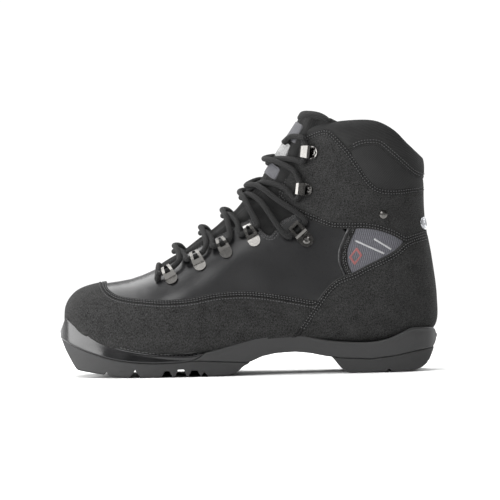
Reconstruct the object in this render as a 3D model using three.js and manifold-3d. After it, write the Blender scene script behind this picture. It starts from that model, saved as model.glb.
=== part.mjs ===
// A left backcountry cross-country ski boot, in millimetres. +X runs from toe to heel, +Y to the
// inner (medial) side and +Z up; the origin is under the middle of the sole, on the ground.
// The upper is a set of shell panels taken from one last (the foot-shaped form). Each panel is a
// layer between two offsets of the last, cut out by an outline drawn in the side view (x, z).
// Two zones flex: the sole bends at the ball of the foot and the cuff tilts at the ankle rivets.
import * as THREE from "three";
import { mergeVertices } from "three/addons/utils/BufferGeometryUtils.js";
import Module from "manifold-3d";

const wasm = await Module();
wasm.setup();

// ---------------------------------------------------------------- driving dimensions
const GAP = 0.3; // between pieces that touch
const REACH = 90; // half width of every side-view cutter
const FAR = 260; // beyond the boot in any direction

const TOE_AXIS = { x: -80, z: 16 }; // ball-of-foot bend, across the boot
const TOE_BEND = 20; // degrees the toe bends up
const ANKLE_AXIS = { x: 110.2, z: 127.2 }; // through both ankle rivets
const CUFF_FORWARD = 10; // degrees the cuff tilts towards the toe, and 4 degrees back
const LOWER_RISE = 1.4; // degrees above level of the lower upper's front top edge

const LAYER = {
  // offsets from the last's surface, inner then outer
  footbed: [-10.8, -7.4],
  lining: [-7, -3.6],
  board: [-3.3, 1.5],
  stiffener: [-3.2, -2.3],
  cuffLining: [-7, -4.2],
  leather: [-1.6, 0],
  overlay: [-1.6, 1.3],
  collar: [-1.6, 1.8],
  tongueFlange: [-7, -2],
  tonguePad: [-2.2, 3],
  patch: [3.4, 4.2],
  badge: [1.7, 2.5],
};
const SIDE_SHIFT = 1.4; // the foot's centre line is this far to the inner side of the boot's middle
const SOLE_CUP = 1.9; // the sole is hollowed to this offset of the last

const LACE_DIAMETER = 4.4;
const LACE_SIDES = 8;
const BADGE = { y: -9, z: 116.8, radius: 5.8 };
const TOE_BAR = { x: -138.5, y: 5.5, z: 12.5, radius: 2.5, length: 45 };

const U_STEPS = 27; // rings of facets along the last
const RING_STEPS = 18; // facets around it

// ---------------------------------------------------------------- materials
const finish = (color, roughness, metalness = 0) =>
  new THREE.MeshStandardMaterial({ color, roughness, metalness });
const MATERIAL = {
  leather: finish(0x26272b, 0.38),
  nubuck: finish(0x2a2a29, 0.95),
  textile: finish(0x252525, 0.9),
  lining: finish(0x1e1e1f, 1),
  grey: finish(0x4d4e53, 0.7),
  rubber: finish(0x38393c, 0.62),
  gloss: finish(0x1d1d20, 0.16),
  board: finish(0x5c5145, 0.9),
  plastic: finish(0x2b2b2b, 0.5),
  steel: finish(0x9a9894, 0.25, 1),
  silver: finish(0xb9bbbf, 0.35, 0.5),
  lace: finish(0x2f3034, 0.85),
};

// ---------------------------------------------------------------- solids and meshes
function toSolid(geometry) {
  const bare = geometry.clone();
  bare.deleteAttribute("normal");
  bare.deleteAttribute("uv");
  const merged = mergeVertices(bare, 1e-4);
  const vertProperties = new Float32Array(merged.attributes.position.array);
  const triVerts = new Uint32Array(merged.index.array);
  return new wasm.Manifold(new wasm.Mesh({ numProp: 3, vertProperties, triVerts }));
}

function toGeometry(solid) {
  const mesh = solid.getMesh();
  const points = new Float32Array(mesh.numVert * 3);
  for (let i = 0; i < mesh.numVert; i++) {
    const start = i * mesh.numProp;
    points.set(mesh.vertProperties.subarray(start, start + 3), i * 3);
  }
  const geometry = new THREE.BufferGeometry();
  geometry.setAttribute("position", new THREE.BufferAttribute(points, 3));
  geometry.setIndex(new THREE.BufferAttribute(new Uint32Array(mesh.triVerts), 1));
  geometry.computeVertexNormals();
  return geometry;
}

const boot = new THREE.Group();

function add(name, shape, material, matrix) {
  const geometry = shape.isBufferGeometry ? shape : toGeometry(shape);
  const mesh = new THREE.Mesh(geometry, material);
  mesh.name = name;
  if (matrix) mesh.applyMatrix4(matrix);
  boot.add(mesh);
  return mesh;
}

const shapeOf = (points) => new THREE.Shape(points.map(([x, y]) => new THREE.Vector2(x, y)));

// A prism across the boot whose outline is drawn in the side view.
function sideCut(points, from = -REACH, to = REACH) {
  const geometry = new THREE.ExtrudeGeometry(shapeOf(points), { depth: to - from, bevelEnabled: false });
  geometry.rotateX(Math.PI / 2);
  geometry.translate(0, to, 0);
  return toSolid(geometry);
}

function box(x0, x1, y0, y1, z0, z1) {
  const geometry = new THREE.BoxGeometry(x1 - x0, y1 - y0, z1 - z0);
  geometry.translate((x0 + x1) / 2, (y0 + y1) / 2, (z0 + z1) / 2);
  return toSolid(geometry);
}

// A cylinder whose axis runs along Y.
function crossRod(x, z, radius, from, to, sides = 16) {
  const geometry = new THREE.CylinderGeometry(radius, radius, to - from, sides);
  geometry.translate(x, (from + to) / 2, z);
  return toSolid(geometry);
}

// ---------------------------------------------------------------- the last
// Stations from the toe tip, along the foot and up the leg. Each is a straight line in the side
// view from the sole or heel (bx, bz) to the instep or shin (tx, tz), with the half width there,
// the centre line's y, where along the line it is widest, and how square its two ends are.
const STATION_KEYS = ["bx", "bz", "tx", "tz", "half", "mid", "widest", "lowPower", "highPower"];
const STATIONS = [
  [-149, 45, -149, 46, 0.5, 6, 0.5, 2, 2],
  [-148.4, 37, -148.4, 55, 13, 6, 0.42, 2.4, 2],
  [-144.5, 30.5, -144.5, 63, 22, 6, 0.38, 3, 2.1],
  [-138, 26, -137.4, 69.4, 30, 5.6, 0.35, 3.8, 2.2],
  [-128.4, 22.2, -125.7, 73.6, 37, 5, 0.32, 4.4, 2.3],
  [-115.4, 19, -111, 75.6, 42.5, 4.4, 0.3, 5, 2.3],
  [-99, 16.6, -93, 78.6, 46.2, 3.4, 0.28, 5, 2.3],
  [-81, 15.4, -75.6, 85, 48.5, 2, 0.26, 5, 2.2],
  [-61, 15.2, -55, 96.8, 48.5, 0.6, 0.24, 5, 2.2],
  [-36, 16.4, -34.3, 110.8, 46, -0.4, 0.22, 5, 2.1],
  [-7.6, 20, -17, 123.5, 42, -1, 0.22, 5, 2.1],
  [25, 24.2, -3.6, 135.5, 38.5, -0.8, 0.25, 5, 2.1],
  [62, 24.2, 6.5, 147.5, 36.5, -0.4, 0.32, 5, 2.1],
  [98.6, 21.4, 14, 156.3, 36, 0, 0.4, 4.2, 2.1],
  [131, 23, 19, 163.5, 35.5, 0, 0.46, 3.2, 2.1],
  [150.5, 36.5, 23.3, 170, 36, 0, 0.5, 2.6, 2.1],
  [152.7, 60, 27.5, 176.5, 36.5, 0, 0.5, 2.3, 2.1],
  [149, 92.8, 31.7, 183, 37, 0, 0.5, 2.1, 2.1],
  [144.3, 121.4, 36.7, 190.3, 38, 0, 0.5, 2.1, 2.1],
  [143.6, 150, 42.6, 199, 39.5, 0, 0.5, 2.1, 2.1],
  [144.4, 178.6, 50.2, 211, 41, 0, 0.5, 2.1, 2.2],
  [146, 211, 58.7, 227.5, 42.5, 0, 0.5, 2.1, 2.2],
];
const LAST_STATION = STATIONS.length - 1;
const TOE_ROUND = 37; // half width at which the toe's front rounding ends

function spline(a, b, c, d, t) {
  return 0.5 * (2 * b + (c - a) * t + (2 * a - 5 * b + 4 * c - d) * t * t + (3 * b - a - 3 * c + d) * t ** 3);
}

// The station at u, between whole ones too, grown outwards by offset.
function stationAt(u, offset = 0) {
  const i = Math.min(Math.floor(u), LAST_STATION - 1);
  const row = (k) => STATIONS[Math.min(Math.max(k, 0), LAST_STATION)];
  const s = {};
  STATION_KEYS.forEach((key, k) => {
    s[key] = spline(row(i - 1)[k], row(i)[k], row(i + 1)[k], row(i + 2)[k], u - i);
  });
  const length = Math.hypot(s.tx - s.bx, s.tz - s.bz);
  s.ex = (s.tx - s.bx) / length;
  s.ez = (s.tz - s.bz) / length;
  s.cx = s.bx + s.ex * s.widest * length;
  s.cz = s.bz + s.ez * s.widest * length;
  s.low = s.widest * length + offset;
  s.high = (1 - s.widest) * length + offset;
  s.half += offset;
  s.forward = offset * Math.sqrt(Math.max(0, 1 - (s.half / TOE_ROUND) ** 2)) * (u < 5 ? 1 : 0);
  return s;
}

// A point of the last: angle -90 degrees is the sole or heel line, 0 the widest point on the inner
// side, 90 the instep or shin line and 180 the widest point on the outer side.
function lastPoint(u, angle, offset = 0) {
  const s = stationAt(u, offset);
  const c = Math.cos(angle);
  const k = Math.sin(angle);
  const power = k < 0 ? s.lowPower : s.highPower;
  const r = (Math.abs(c) ** power + Math.abs(k) ** power) ** (-1 / power);
  const along = r * k * (k < 0 ? s.low : s.high);
  return new THREE.Vector3(s.cx + s.ex * along - s.forward, s.mid + s.half * r * c, s.cz + s.ez * along);
}

function lastSolid(offset) {
  const points = [];
  const rings = [];
  for (let i = 1; i <= U_STEPS; i++) {
    const u = (LAST_STATION * i) / U_STEPS;
    const ring = [];
    for (let k = 0; k < RING_STEPS; k++) {
      ring.push(points.length / 3);
      points.push(...lastPoint(u, (2 * Math.PI * k) / RING_STEPS, offset).toArray());
    }
    rings.push(ring);
  }
  const pole = points.length / 3;
  points.push(...lastPoint(0, 0, offset).setY(STATIONS[0][5]).toArray());
  const s = stationAt(LAST_STATION, offset);
  points.push(s.cx, s.mid, s.cz);
  const faces = [];
  for (let k = 0; k < RING_STEPS; k++) {
    const next = (k + 1) % RING_STEPS;
    faces.push(pole, rings[0][next], rings[0][k]);
    faces.push(pole + 1, rings[U_STEPS - 1][k], rings[U_STEPS - 1][next]);
    for (let i = 0; i < U_STEPS - 1; i++) {
      faces.push(rings[i][k], rings[i + 1][next], rings[i + 1][k]);
      faces.push(rings[i][k], rings[i][next], rings[i + 1][next]);
    }
  }
  const geometry = new THREE.BufferGeometry();
  geometry.setAttribute("position", new THREE.Float32BufferAttribute(points, 3));
  geometry.setIndex(faces);
  return toSolid(geometry);
}

const lastSolids = new Map();
function last(offset) {
  if (!lastSolids.has(offset)) lastSolids.set(offset, lastSolid(offset));
  return lastSolids.get(offset);
}
const shell = ([inner, outer]) => last(outer).subtract(last(inner));

// Where the side-view point (x, z) lies on the last: its u and its y on one side (-1 outer, 1 inner).
function sideToSurface(x, z, side, offset = 0) {
  const miss = (u) => {
    const s = stationAt(u, offset);
    return s.ex * (z - s.bz) - s.ez * (x - s.bx);
  };
  let low = 0.5;
  let high = LAST_STATION;
  for (let k = 0; k < 40; k++) {
    const u = (low + high) / 2;
    if (miss(u) > 0) high = u;
    else low = u;
  }
  const s = stationAt(low, offset);
  const along = (x - s.cx) * s.ex + (z - s.cz) * s.ez;
  const power = along < 0 ? s.lowPower : s.highPower;
  const share = Math.min(1, Math.abs(along) / (along < 0 ? s.low : s.high));
  return { u: low, y: s.mid + side * s.half * (1 - share ** power) ** (1 / power) };
}

// A frame standing on the surface at (x, z): local Y points along the side-view direction
// (ux, uz), local Z out of the boot.
function surfaceFrame(x, z, side, [ux, uz], offset) {
  const step = 1;
  const y = (dx, dz) => sideToSurface(x + dx, z + dz, side, offset).y;
  const slopeX = (y(step, 0) - y(-step, 0)) / (2 * step);
  const slopeZ = (y(0, step) - y(0, -step)) / (2 * step);
  const out = new THREE.Vector3(-slopeX, 1, -slopeZ).multiplyScalar(side).normalize();
  const up = new THREE.Vector3(ux, slopeX * ux + slopeZ * uz, uz).normalize();
  const across = new THREE.Vector3().crossVectors(up, out);
  return new THREE.Matrix4().makeBasis(across, up, out).setPosition(x, y(0, 0), z);
}

// ---------------------------------------------------------------- zones that move apart
const degrees = THREE.MathUtils.degToRad;
const backFromToe = TOE_AXIS.x + GAP / 2;
const aheadOfToe = TOE_AXIS.x - GAP / 2;
const toeSlope = Math.tan(degrees(TOE_BEND + 0.5));

// The seam along the bottom of the ankle panel, front to back.
const ANKLE_SEAM = [
  [40.4, 128.4],
  [57, 121.2],
  [69.5, 116.6],
  [84.2, 116.2],
  [94, 116.2],
  [104.6, 114.6],
  [117.2, 110.2],
  [126.9, 105],
  [134.7, 107.6],
  [150, 110.6],
  [FAR, 112],
];
const heightAt = (x, slope) => ANKLE_AXIS.z + (ANKLE_AXIS.x - x) * Math.tan(degrees(slope));
const lower = (points, by) => points.map(([x, z]) => [x, z - by]);

const toeZone = sideCut([
  [-FAR, -40],
  [aheadOfToe, -40],
  [aheadOfToe, TOE_AXIS.z],
  [aheadOfToe - 120 * toeSlope, TOE_AXIS.z + 120],
  [-FAR, TOE_AXIS.z + 120],
]);
const toeFlexZone = sideCut([
  [backFromToe - GAP, TOE_AXIS.z + 4],
  [backFromToe - GAP, TOE_AXIS.z + 120],
  [aheadOfToe + GAP - 120 * toeSlope, TOE_AXIS.z + 120],
  [aheadOfToe + GAP - 4.5 * toeSlope, TOE_AXIS.z + 4],
]);
const lowerZone = sideCut([
  [backFromToe, -40],
  [FAR, -40],
  ...lower(ANKLE_SEAM, GAP).reverse(),
  [20, heightAt(20, LOWER_RISE)],
  [backFromToe, heightAt(2.6, LOWER_RISE)],
]);
const cuffSlope = LOWER_RISE + CUFF_FORWARD + 0.6;
const pivotEar = crossRod(ANKLE_AXIS.x, ANKLE_AXIS.z, 9, -REACH, REACH, 24);
// Lower edge of the cuff behind the rivets: it clears the heel when the cuff tilts back.
const CUFF_HEEL_EDGE = [
  [112, 117.5],
  [118, 112.6],
  [126.9, 107.6],
  [134.7, 110.6],
  [150, 114],
  [FAR, 116],
];
const cuffZone = sideCut([
  [-FAR, heightAt(-FAR, cuffSlope)],
  [ANKLE_AXIS.x, ANKLE_AXIS.z],
  ...CUFF_HEEL_EDGE,
  [FAR, 300],
  [-FAR, 300],
]).add(pivotEar);
const ankleFlexZone = sideCut([
  [-40, heightAt(2.6, LOWER_RISE) + GAP],
  [20, heightAt(20, LOWER_RISE) + GAP],
  ...ANKLE_SEAM,
  ...lower(CUFF_HEEL_EDGE, GAP).reverse(),
  [ANKLE_AXIS.x, ANKLE_AXIS.z - GAP],
  [-40, heightAt(-40, cuffSlope) - GAP],
]).subtract(crossRod(ANKLE_AXIS.x, ANKLE_AXIS.z, 9 + GAP, -REACH, REACH, 24));

// ---------------------------------------------------------------- outlines in the side view
// Edge of the leather flaps that carry the lace loops, from the foot of the throat upwards.
const FLAP_EDGE = [
  [-78, 82],
  [-69.8, 89.4],
  [-58, 93.6],
  [-36, 106.4],
  [-29, 110.6],
  [-16, 116.3],
  [-10.9, 122.2],
  [2.6, 128.8],
];
const FLEX_NOTCH = [
  [2.6, 140],
  [2.6, 128.8],
  [12.7, 115.7],
  [18.8, 112.2],
  [25.5, 121.4],
  [35.5, 127.7],
  [36, 140],
];
// Front edge of the cuff, from the ankle seam up to the collar.
const CUFF_FRONT = [
  [24, 136],
  [27.9, 150.8],
  [34.7, 170.2],
  [41.5, 183.1],
  [45.8, 189],
];
// Upper edge of the ankle panel, front to back.
const PANEL_TOP = [
  [45.8, 189],
  [52.2, 193],
  [60.5, 196.4],
  [66.8, 197],
  [71.5, 194.6],
  [84.2, 179.8],
  [98.4, 157.7],
  [103.4, 152],
  [109.6, 148.8],
  [130.4, 149.2],
  [FAR, 150.8],
];
// Seam between the heel pad and the collar above it.
const PAD_TOP = [
  [85.3, 179.4],
  [92.6, 182.8],
  [100, 183.9],
  [107.2, 183],
  [122.5, 169.7],
  [136.9, 157.9],
  [FAR, 154],
];
const COLLAR_TOP = [
  [46, 196],
  [54.1, 200.8],
  [71.1, 203.5],
  [100.4, 203.8],
  [110.7, 201.1],
  [120.9, 194.7],
  [131.1, 184.1],
  [143.3, 172.6],
  [FAR, 170],
];
const RAND_TOP = [
  [-115.8, 82],
  [-115.4, 75.6],
  [-112.7, 70.4],
  [-106.2, 66.1],
  [-96.5, 63.9],
  [-67.9, 62.1],
  [-47.5, 63.3],
  [-27, 67],
  [-6.6, 68.2],
  [11.4, 67],
  [34.1, 63.3],
  [55.6, 59.2],
];
// Front edge of the heel counter, from the sole up to the back.
const COUNTER_FRONT = [
  [31, 28],
  [37.7, 35.4],
  [56.1, 59.6],
  [62.8, 68.4],
  [71.1, 75.6],
  [85.1, 81],
  [112.3, 94.3],
  [126.9, 104.6],
  [134.7, 107],
];
// Front edge of the side support panel, top to bottom.
const SUPPORT_FRONT = [
  [81.3, 118],
  [77.5, 108.4],
  [73.7, 99.2],
  [73.5, 88.8],
  [76.4, 78.2],
];
// Line on the upper's sides where it enters the sole, and the bottom line of the footwell.
const WELT = [
  [-FAR, 38],
  [-133.7, 30],
  [-113.6, 23.5],
  [-89.2, 20.6],
  [-56.6, 19.8],
  [-36, 20.8],
  [-7.6, 24.4],
  [25, 28.8],
  [62, 28.4],
  [98.6, 26.4],
  [131, 28],
  [FAR, 30],
];
const raised = (points, by) => points.map(([x, z]) => [x, z + by]);
const aboveLine = (points) => sideCut([...points, [FAR, 300], [-FAR, 300]]);
const belowLine = (points) => sideCut([...points, [FAR, -60], [-FAR, -60]]);

const onUpper = aboveLine(WELT);
const inSole = belowLine(lower(WELT, GAP));

// ---------------------------------------------------------------- the upper
const throat = sideCut([...FLAP_EDGE, [2.6, 220], [-FAR, 220], [-FAR, 82]]);
const flexNotch = sideCut(FLEX_NOTCH);
const throatSetBack = sideCut([...lower(FLAP_EDGE, 9), [20, 126], [20, 220], [-FAR, 220], [-FAR, 73]]);
const behindCuffFront = sideCut([...CUFF_FRONT, [50, 202], [60, 240], [FAR, 240], [FAR, 60], [24, 60]]);
const behindTongue = sideCut([
  [41, 120],
  [45, 160],
  [54, 178],
  [64, 192],
  [76, 206],
  [FAR, 206],
  [FAR, 60],
  [41, 60],
]);
const randOutline = sideCut([...RAND_TOP, [37.1, 35.7], [30.2, 28.2], [20, 10], [-FAR, 10], [-FAR, 82]]);
const vampOutline = sideCut([
  ...raised(RAND_TOP, 0.4).slice(1),
  [63, 69.4],
  [71.1, 76.4],
  ...SUPPORT_FRONT.slice().reverse(),
  [81, 130],
  [-FAR, 160],
  [-FAR, 78],
  [-115, 78],
]);
const counterOutline = sideCut([...COUNTER_FRONT, [FAR, 110], [FAR, 10], [20, 10]]);

function addUppers() {
  const rand = shell(LAYER.overlay).intersect(onUpper).intersect(randOutline);
  const toeCap = rand.intersect(toeZone);
  add("toe_cap", toeCap, MATERIAL.nubuck);
  const rands = rand.intersect(lowerZone);
  add("side_rand_lateral", rands.intersect(box(-FAR, FAR, -REACH, 0, -FAR, FAR)), MATERIAL.nubuck);
  add("side_rand_medial", rands.intersect(box(-FAR, FAR, 0, REACH, -FAR, FAR)), MATERIAL.nubuck);

  const vamp = shell(LAYER.leather).intersect(onUpper).intersect(vampOutline);
  add("vamp_toe", vamp.intersect(toeZone), MATERIAL.leather);
  const quarters = vamp.intersect(lowerZone).subtract(throat).subtract(flexNotch);
  add("vamp_and_quarters", quarters, MATERIAL.leather);
  const flexUpper = shell(LAYER.leather).intersect(onUpper).intersect(toeFlexZone);
  add("forefoot_flex_upper", flexUpper, MATERIAL.leather);

  add("heel_counter", shell(LAYER.overlay).intersect(onUpper).intersect(counterOutline), MATERIAL.nubuck);

  const underSeam = [...raised(COUNTER_FRONT.slice(3, 7), 0.5), [124.5, 103.8], [124.5, 105.6]];
  const support = shell(LAYER.leather)
    .intersect(sideCut([...underSeam, ...lower(ANKLE_SEAM, GAP).slice(2, 7).reverse()]))
    .intersect(sideCut([...SUPPORT_FRONT.map(([x, z]) => [x + GAP, z]), [FAR, 70], [FAR, 118]]));
  add("side_support_lateral", support.intersect(box(-FAR, FAR, -REACH, 0, -FAR, FAR)), MATERIAL.grey);
  add("side_support_medial", support.intersect(box(-FAR, FAR, 0, REACH, -FAR, FAR)), MATERIAL.grey);

  const rivetHoles = crossRod(ANKLE_AXIS.x, ANKLE_AXIS.z, 2.5, -REACH, REACH, 12);
  const underPanelTop = belowLine([[-FAR, 189], ...PANEL_TOP]);
  const anklePanel = shell(LAYER.overlay).intersect(behindCuffFront).intersect(underPanelTop);
  add("ankle_panel", anklePanel.intersect(cuffZone).subtract(rivetHoles), MATERIAL.nubuck);
  add("ankle_flex_panel", anklePanel.intersect(ankleFlexZone), MATERIAL.nubuck);

  const overPanelTop = aboveLine([[-FAR, 189.4], ...raised(PANEL_TOP, 0.4)]);
  const heelPadOutline = sideCut([...PAD_TOP, [FAR, 100], [85.3, 100]]);
  add(
    "heel_pad",
    shell(LAYER.overlay).intersect(overPanelTop).intersect(heelPadOutline),
    MATERIAL.textile,
  );
  addCollar(overPanelTop);
}

function addCollar(overPanelTop) {
  const underTop = belowLine([[-FAR, 196], ...COLLAR_TOP]);
  const padGrown = sideCut([...raised(PAD_TOP, 0.4), [FAR, 100], [84.9, 100]]);
  const outer = shell(LAYER.collar).intersect(overPanelTop).subtract(padGrown);
  const overLining = aboveLine([[-FAR, 190.4], ...lower(COLLAR_TOP, 5.4)]);
  const rolledEdge = shell([-9, LAYER.collar[1]]).intersect(overLining).intersect(behindTongue);
  const collar = outer.add(rolledEdge).intersect(underTop).intersect(behindCuffFront);
  add("collar", collar, MATERIAL.textile);
}

// ---------------------------------------------------------------- inside the upper
function addInside() {
  const lining = shell(LAYER.lining);
  const cuffBand = belowLine([[-FAR, 190], ...lower(COLLAR_TOP, 5.8)]);
  add("lining_toe", lining.intersect(toeZone), MATERIAL.lining);
  add("lining_foot", lining.intersect(lowerZone).subtract(throatSetBack), MATERIAL.lining);
  const cuffLining = shell(LAYER.cuffLining).intersect(cuffZone);
  add("lining_cuff", cuffLining.intersect(cuffBand).intersect(behindTongue), MATERIAL.lining);

  const board = shell(LAYER.board).intersect(inSole);
  add("insole_board_toe", board.intersect(toeZone), MATERIAL.board);
  add("insole_board", board.intersect(lowerZone), MATERIAL.board);
  const footbed = shell(LAYER.footbed).intersect(belowLine(raised(WELT, 14)));
  add("footbed_toe", footbed.intersect(toeZone), MATERIAL.textile);
  add("footbed", footbed.intersect(lowerZone), MATERIAL.textile);

  const stiffener = shell(LAYER.stiffener).intersect(onUpper);
  const toeEnd = sideCut([[-FAR, 20], [-122, 20], [-118, 90], [-FAR, 90]]);
  add("toe_puff", stiffener.intersect(toeEnd), MATERIAL.plastic);
  // A heel cup with an arm on each side that runs up to the ankle rivet.
  const cup = sideCut([
    [60, 20],
    [78, 62],
    [96, 74],
    [98, 100],
    [102, ANKLE_AXIS.z],
    [105, ANKLE_AXIS.z + 5],
    [ANKLE_AXIS.x, ANKLE_AXIS.z + 7],
    [115, ANKLE_AXIS.z + 5],
    [118, ANKLE_AXIS.z],
    [120, 100],
    [FAR, 84],
    [FAR, 20],
  ]);
  const rivetHoles = crossRod(ANKLE_AXIS.x, ANKLE_AXIS.z, 2.5, -REACH, REACH, 12);
  add("heel_stiffener", stiffener.intersect(cup).subtract(rivetHoles), MATERIAL.plastic);
}

// ---------------------------------------------------------------- tongue
function addTongue() {
  const flangeShin = [[20, 130], [38, 143], [42, 160], [50, 178], [72, 203]];
  const flangeEdge = [[-86, 70], ...lower(FLAP_EDGE, 7.6), ...flangeShin];
  const tongueTop = [[72, 206], [67, 208.4], [60, 211], [-FAR, 211]];
  const flange = shell(LAYER.tongueFlange).intersect(sideCut([...flangeEdge, ...tongueTop, [-FAR, 70]]));
  const padShin = [[14, 134], [21, 143], [31.5, 171], [44, 194], [50, 211]];
  const padEdge = [[-68, 92.6], ...raised(FLAP_EDGE.slice(2), 2.2), ...padShin];
  const pad = shell(LAYER.tonguePad).intersect(sideCut([...padEdge, [-FAR, 211], [-FAR, 92.6]]));
  const startsAt = sideCut([[-71, 0], [FAR, 0], [FAR, 300], [-71, 300]]);
  const tongue = flange.add(pad).intersect(startsAt);
  const rollLine = [[-FAR, 190], [40, 201.5], [60, 205.5], [FAR, 205.5]];
  add("tongue_lower", tongue.intersect(lowerZone), MATERIAL.textile);
  add("tongue_flex", tongue.intersect(ankleFlexZone), MATERIAL.textile);
  add("tongue_upper", tongue.intersect(cuffZone).intersect(belowLine(rollLine)), MATERIAL.textile);
  const roll = shell([-7, 6]).intersect(sideCut([...flangeEdge, ...tongueTop, [-FAR, 70]]));
  const rollFront = sideCut([[0, 0], [57, 190], [57, 260], [0, 260]]);
  const rollBand = aboveLine(raised(rollLine, 0.4)).intersect(rollFront);
  add("tongue_top_roll", roll.intersect(rollBand), MATERIAL.textile);

  const patch = shell(LAYER.patch);
  const between = (low, high) => sideCut([[-40, low], [100, low + 28], [100, high + 28], [-40, high]], -13, 13);
  add("tongue_patch", patch.intersect(between(171.5, 184)), MATERIAL.grey);
  add("tongue_label", patch.intersect(between(160, 170.5)), MATERIAL.silver);
  add("tongue_lace_keeper", patch.intersect(between(150, 156.5)), MATERIAL.grey);
}

// ---------------------------------------------------------------- sole
// Plan outline: the outer edge from toe to heel, then the inner edge back to the toe.
const SOLE_PLAN = [
  [-154, 6],
  [-151.5, -8],
  [-144, -20],
  [-130, -31.5],
  [-110, -40.5],
  [-85, -47],
  [-60, -49],
  [-35, -47.5],
  [0, -42],
  [35, -37],
  [70, -35.5],
  [105, -35.5],
  [130, -31],
  [145, -21.5],
  [151.5, -10],
  [153.4, 0],
  [151.5, 10],
  [145, 21.5],
  [130, 31],
  [105, 35.5],
  [70, 35.5],
  [35, 36],
  [0, 39.5],
  [-30, 45],
  [-60, 49.5],
  [-85, 51],
  [-110, 47.5],
  [-130, 40],
  [-144, 29.5],
  [-151.5, 18.5],
];
const TREAD_TAPER = 0.93; // width of the sole at the ground against its width at the welt
const TAPER_HEIGHT = 30;

const soleBody = (() => {
  const curve = new THREE.SplineCurve(
    [...SOLE_PLAN, SOLE_PLAN[0]].map(([x, y]) => new THREE.Vector2(x, y)),
  );
  const outline = new THREE.Shape(curve.getPoints(48).slice(0, -1));
  const geometry = new THREE.ExtrudeGeometry(outline, { depth: 60, bevelEnabled: false, steps: 2 });
  const position = geometry.attributes.position;
  for (let i = 0; i < position.count; i++) {
    const share = Math.min(1, position.getZ(i) / TAPER_HEIGHT);
    position.setY(i, position.getY(i) * THREE.MathUtils.lerp(TREAD_TAPER, 1, share));
  }
  return toSolid(geometry);
})();

const FEATHER = [
  [-156, 42.6],
  [-152.6, 46.6],
  [-149.6, 48.6],
  [-133.7, 37.3],
  [-113.6, 27],
  [-89.2, 21],
  [-56.6, 18.4],
  [-40.3, 18.8],
  [-11.5, 25],
  [10.6, 31.1],
  [29.4, 32.8],
  [41.7, 31.3],
  [66, 26.6],
  [94.6, 25],
  [110.9, 26.8],
  [123.3, 31.3],
  [129.1, 34.4],
  [135.6, 35.5],
  [160, 33.4],
];
const BUMPER_LOW = [
  [-156, 38.6],
  [-153.4, 36.1],
  [-142.1, 26.1],
  [-125.9, 19.2],
  [-105.6, 13.9],
  [-81.2, 11.3],
  [-56.7, 11.3],
  [-44, 12.2],
];

// A groove across the tread, opening down.
const treadGroove = (x, depth, half, flat = 0) =>
  sideCut([[x - half, -5], [x + half, -5], [x + half, 0], [x + flat, depth], [x - flat - 0.1, depth], [x - half, 0]]);

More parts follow.
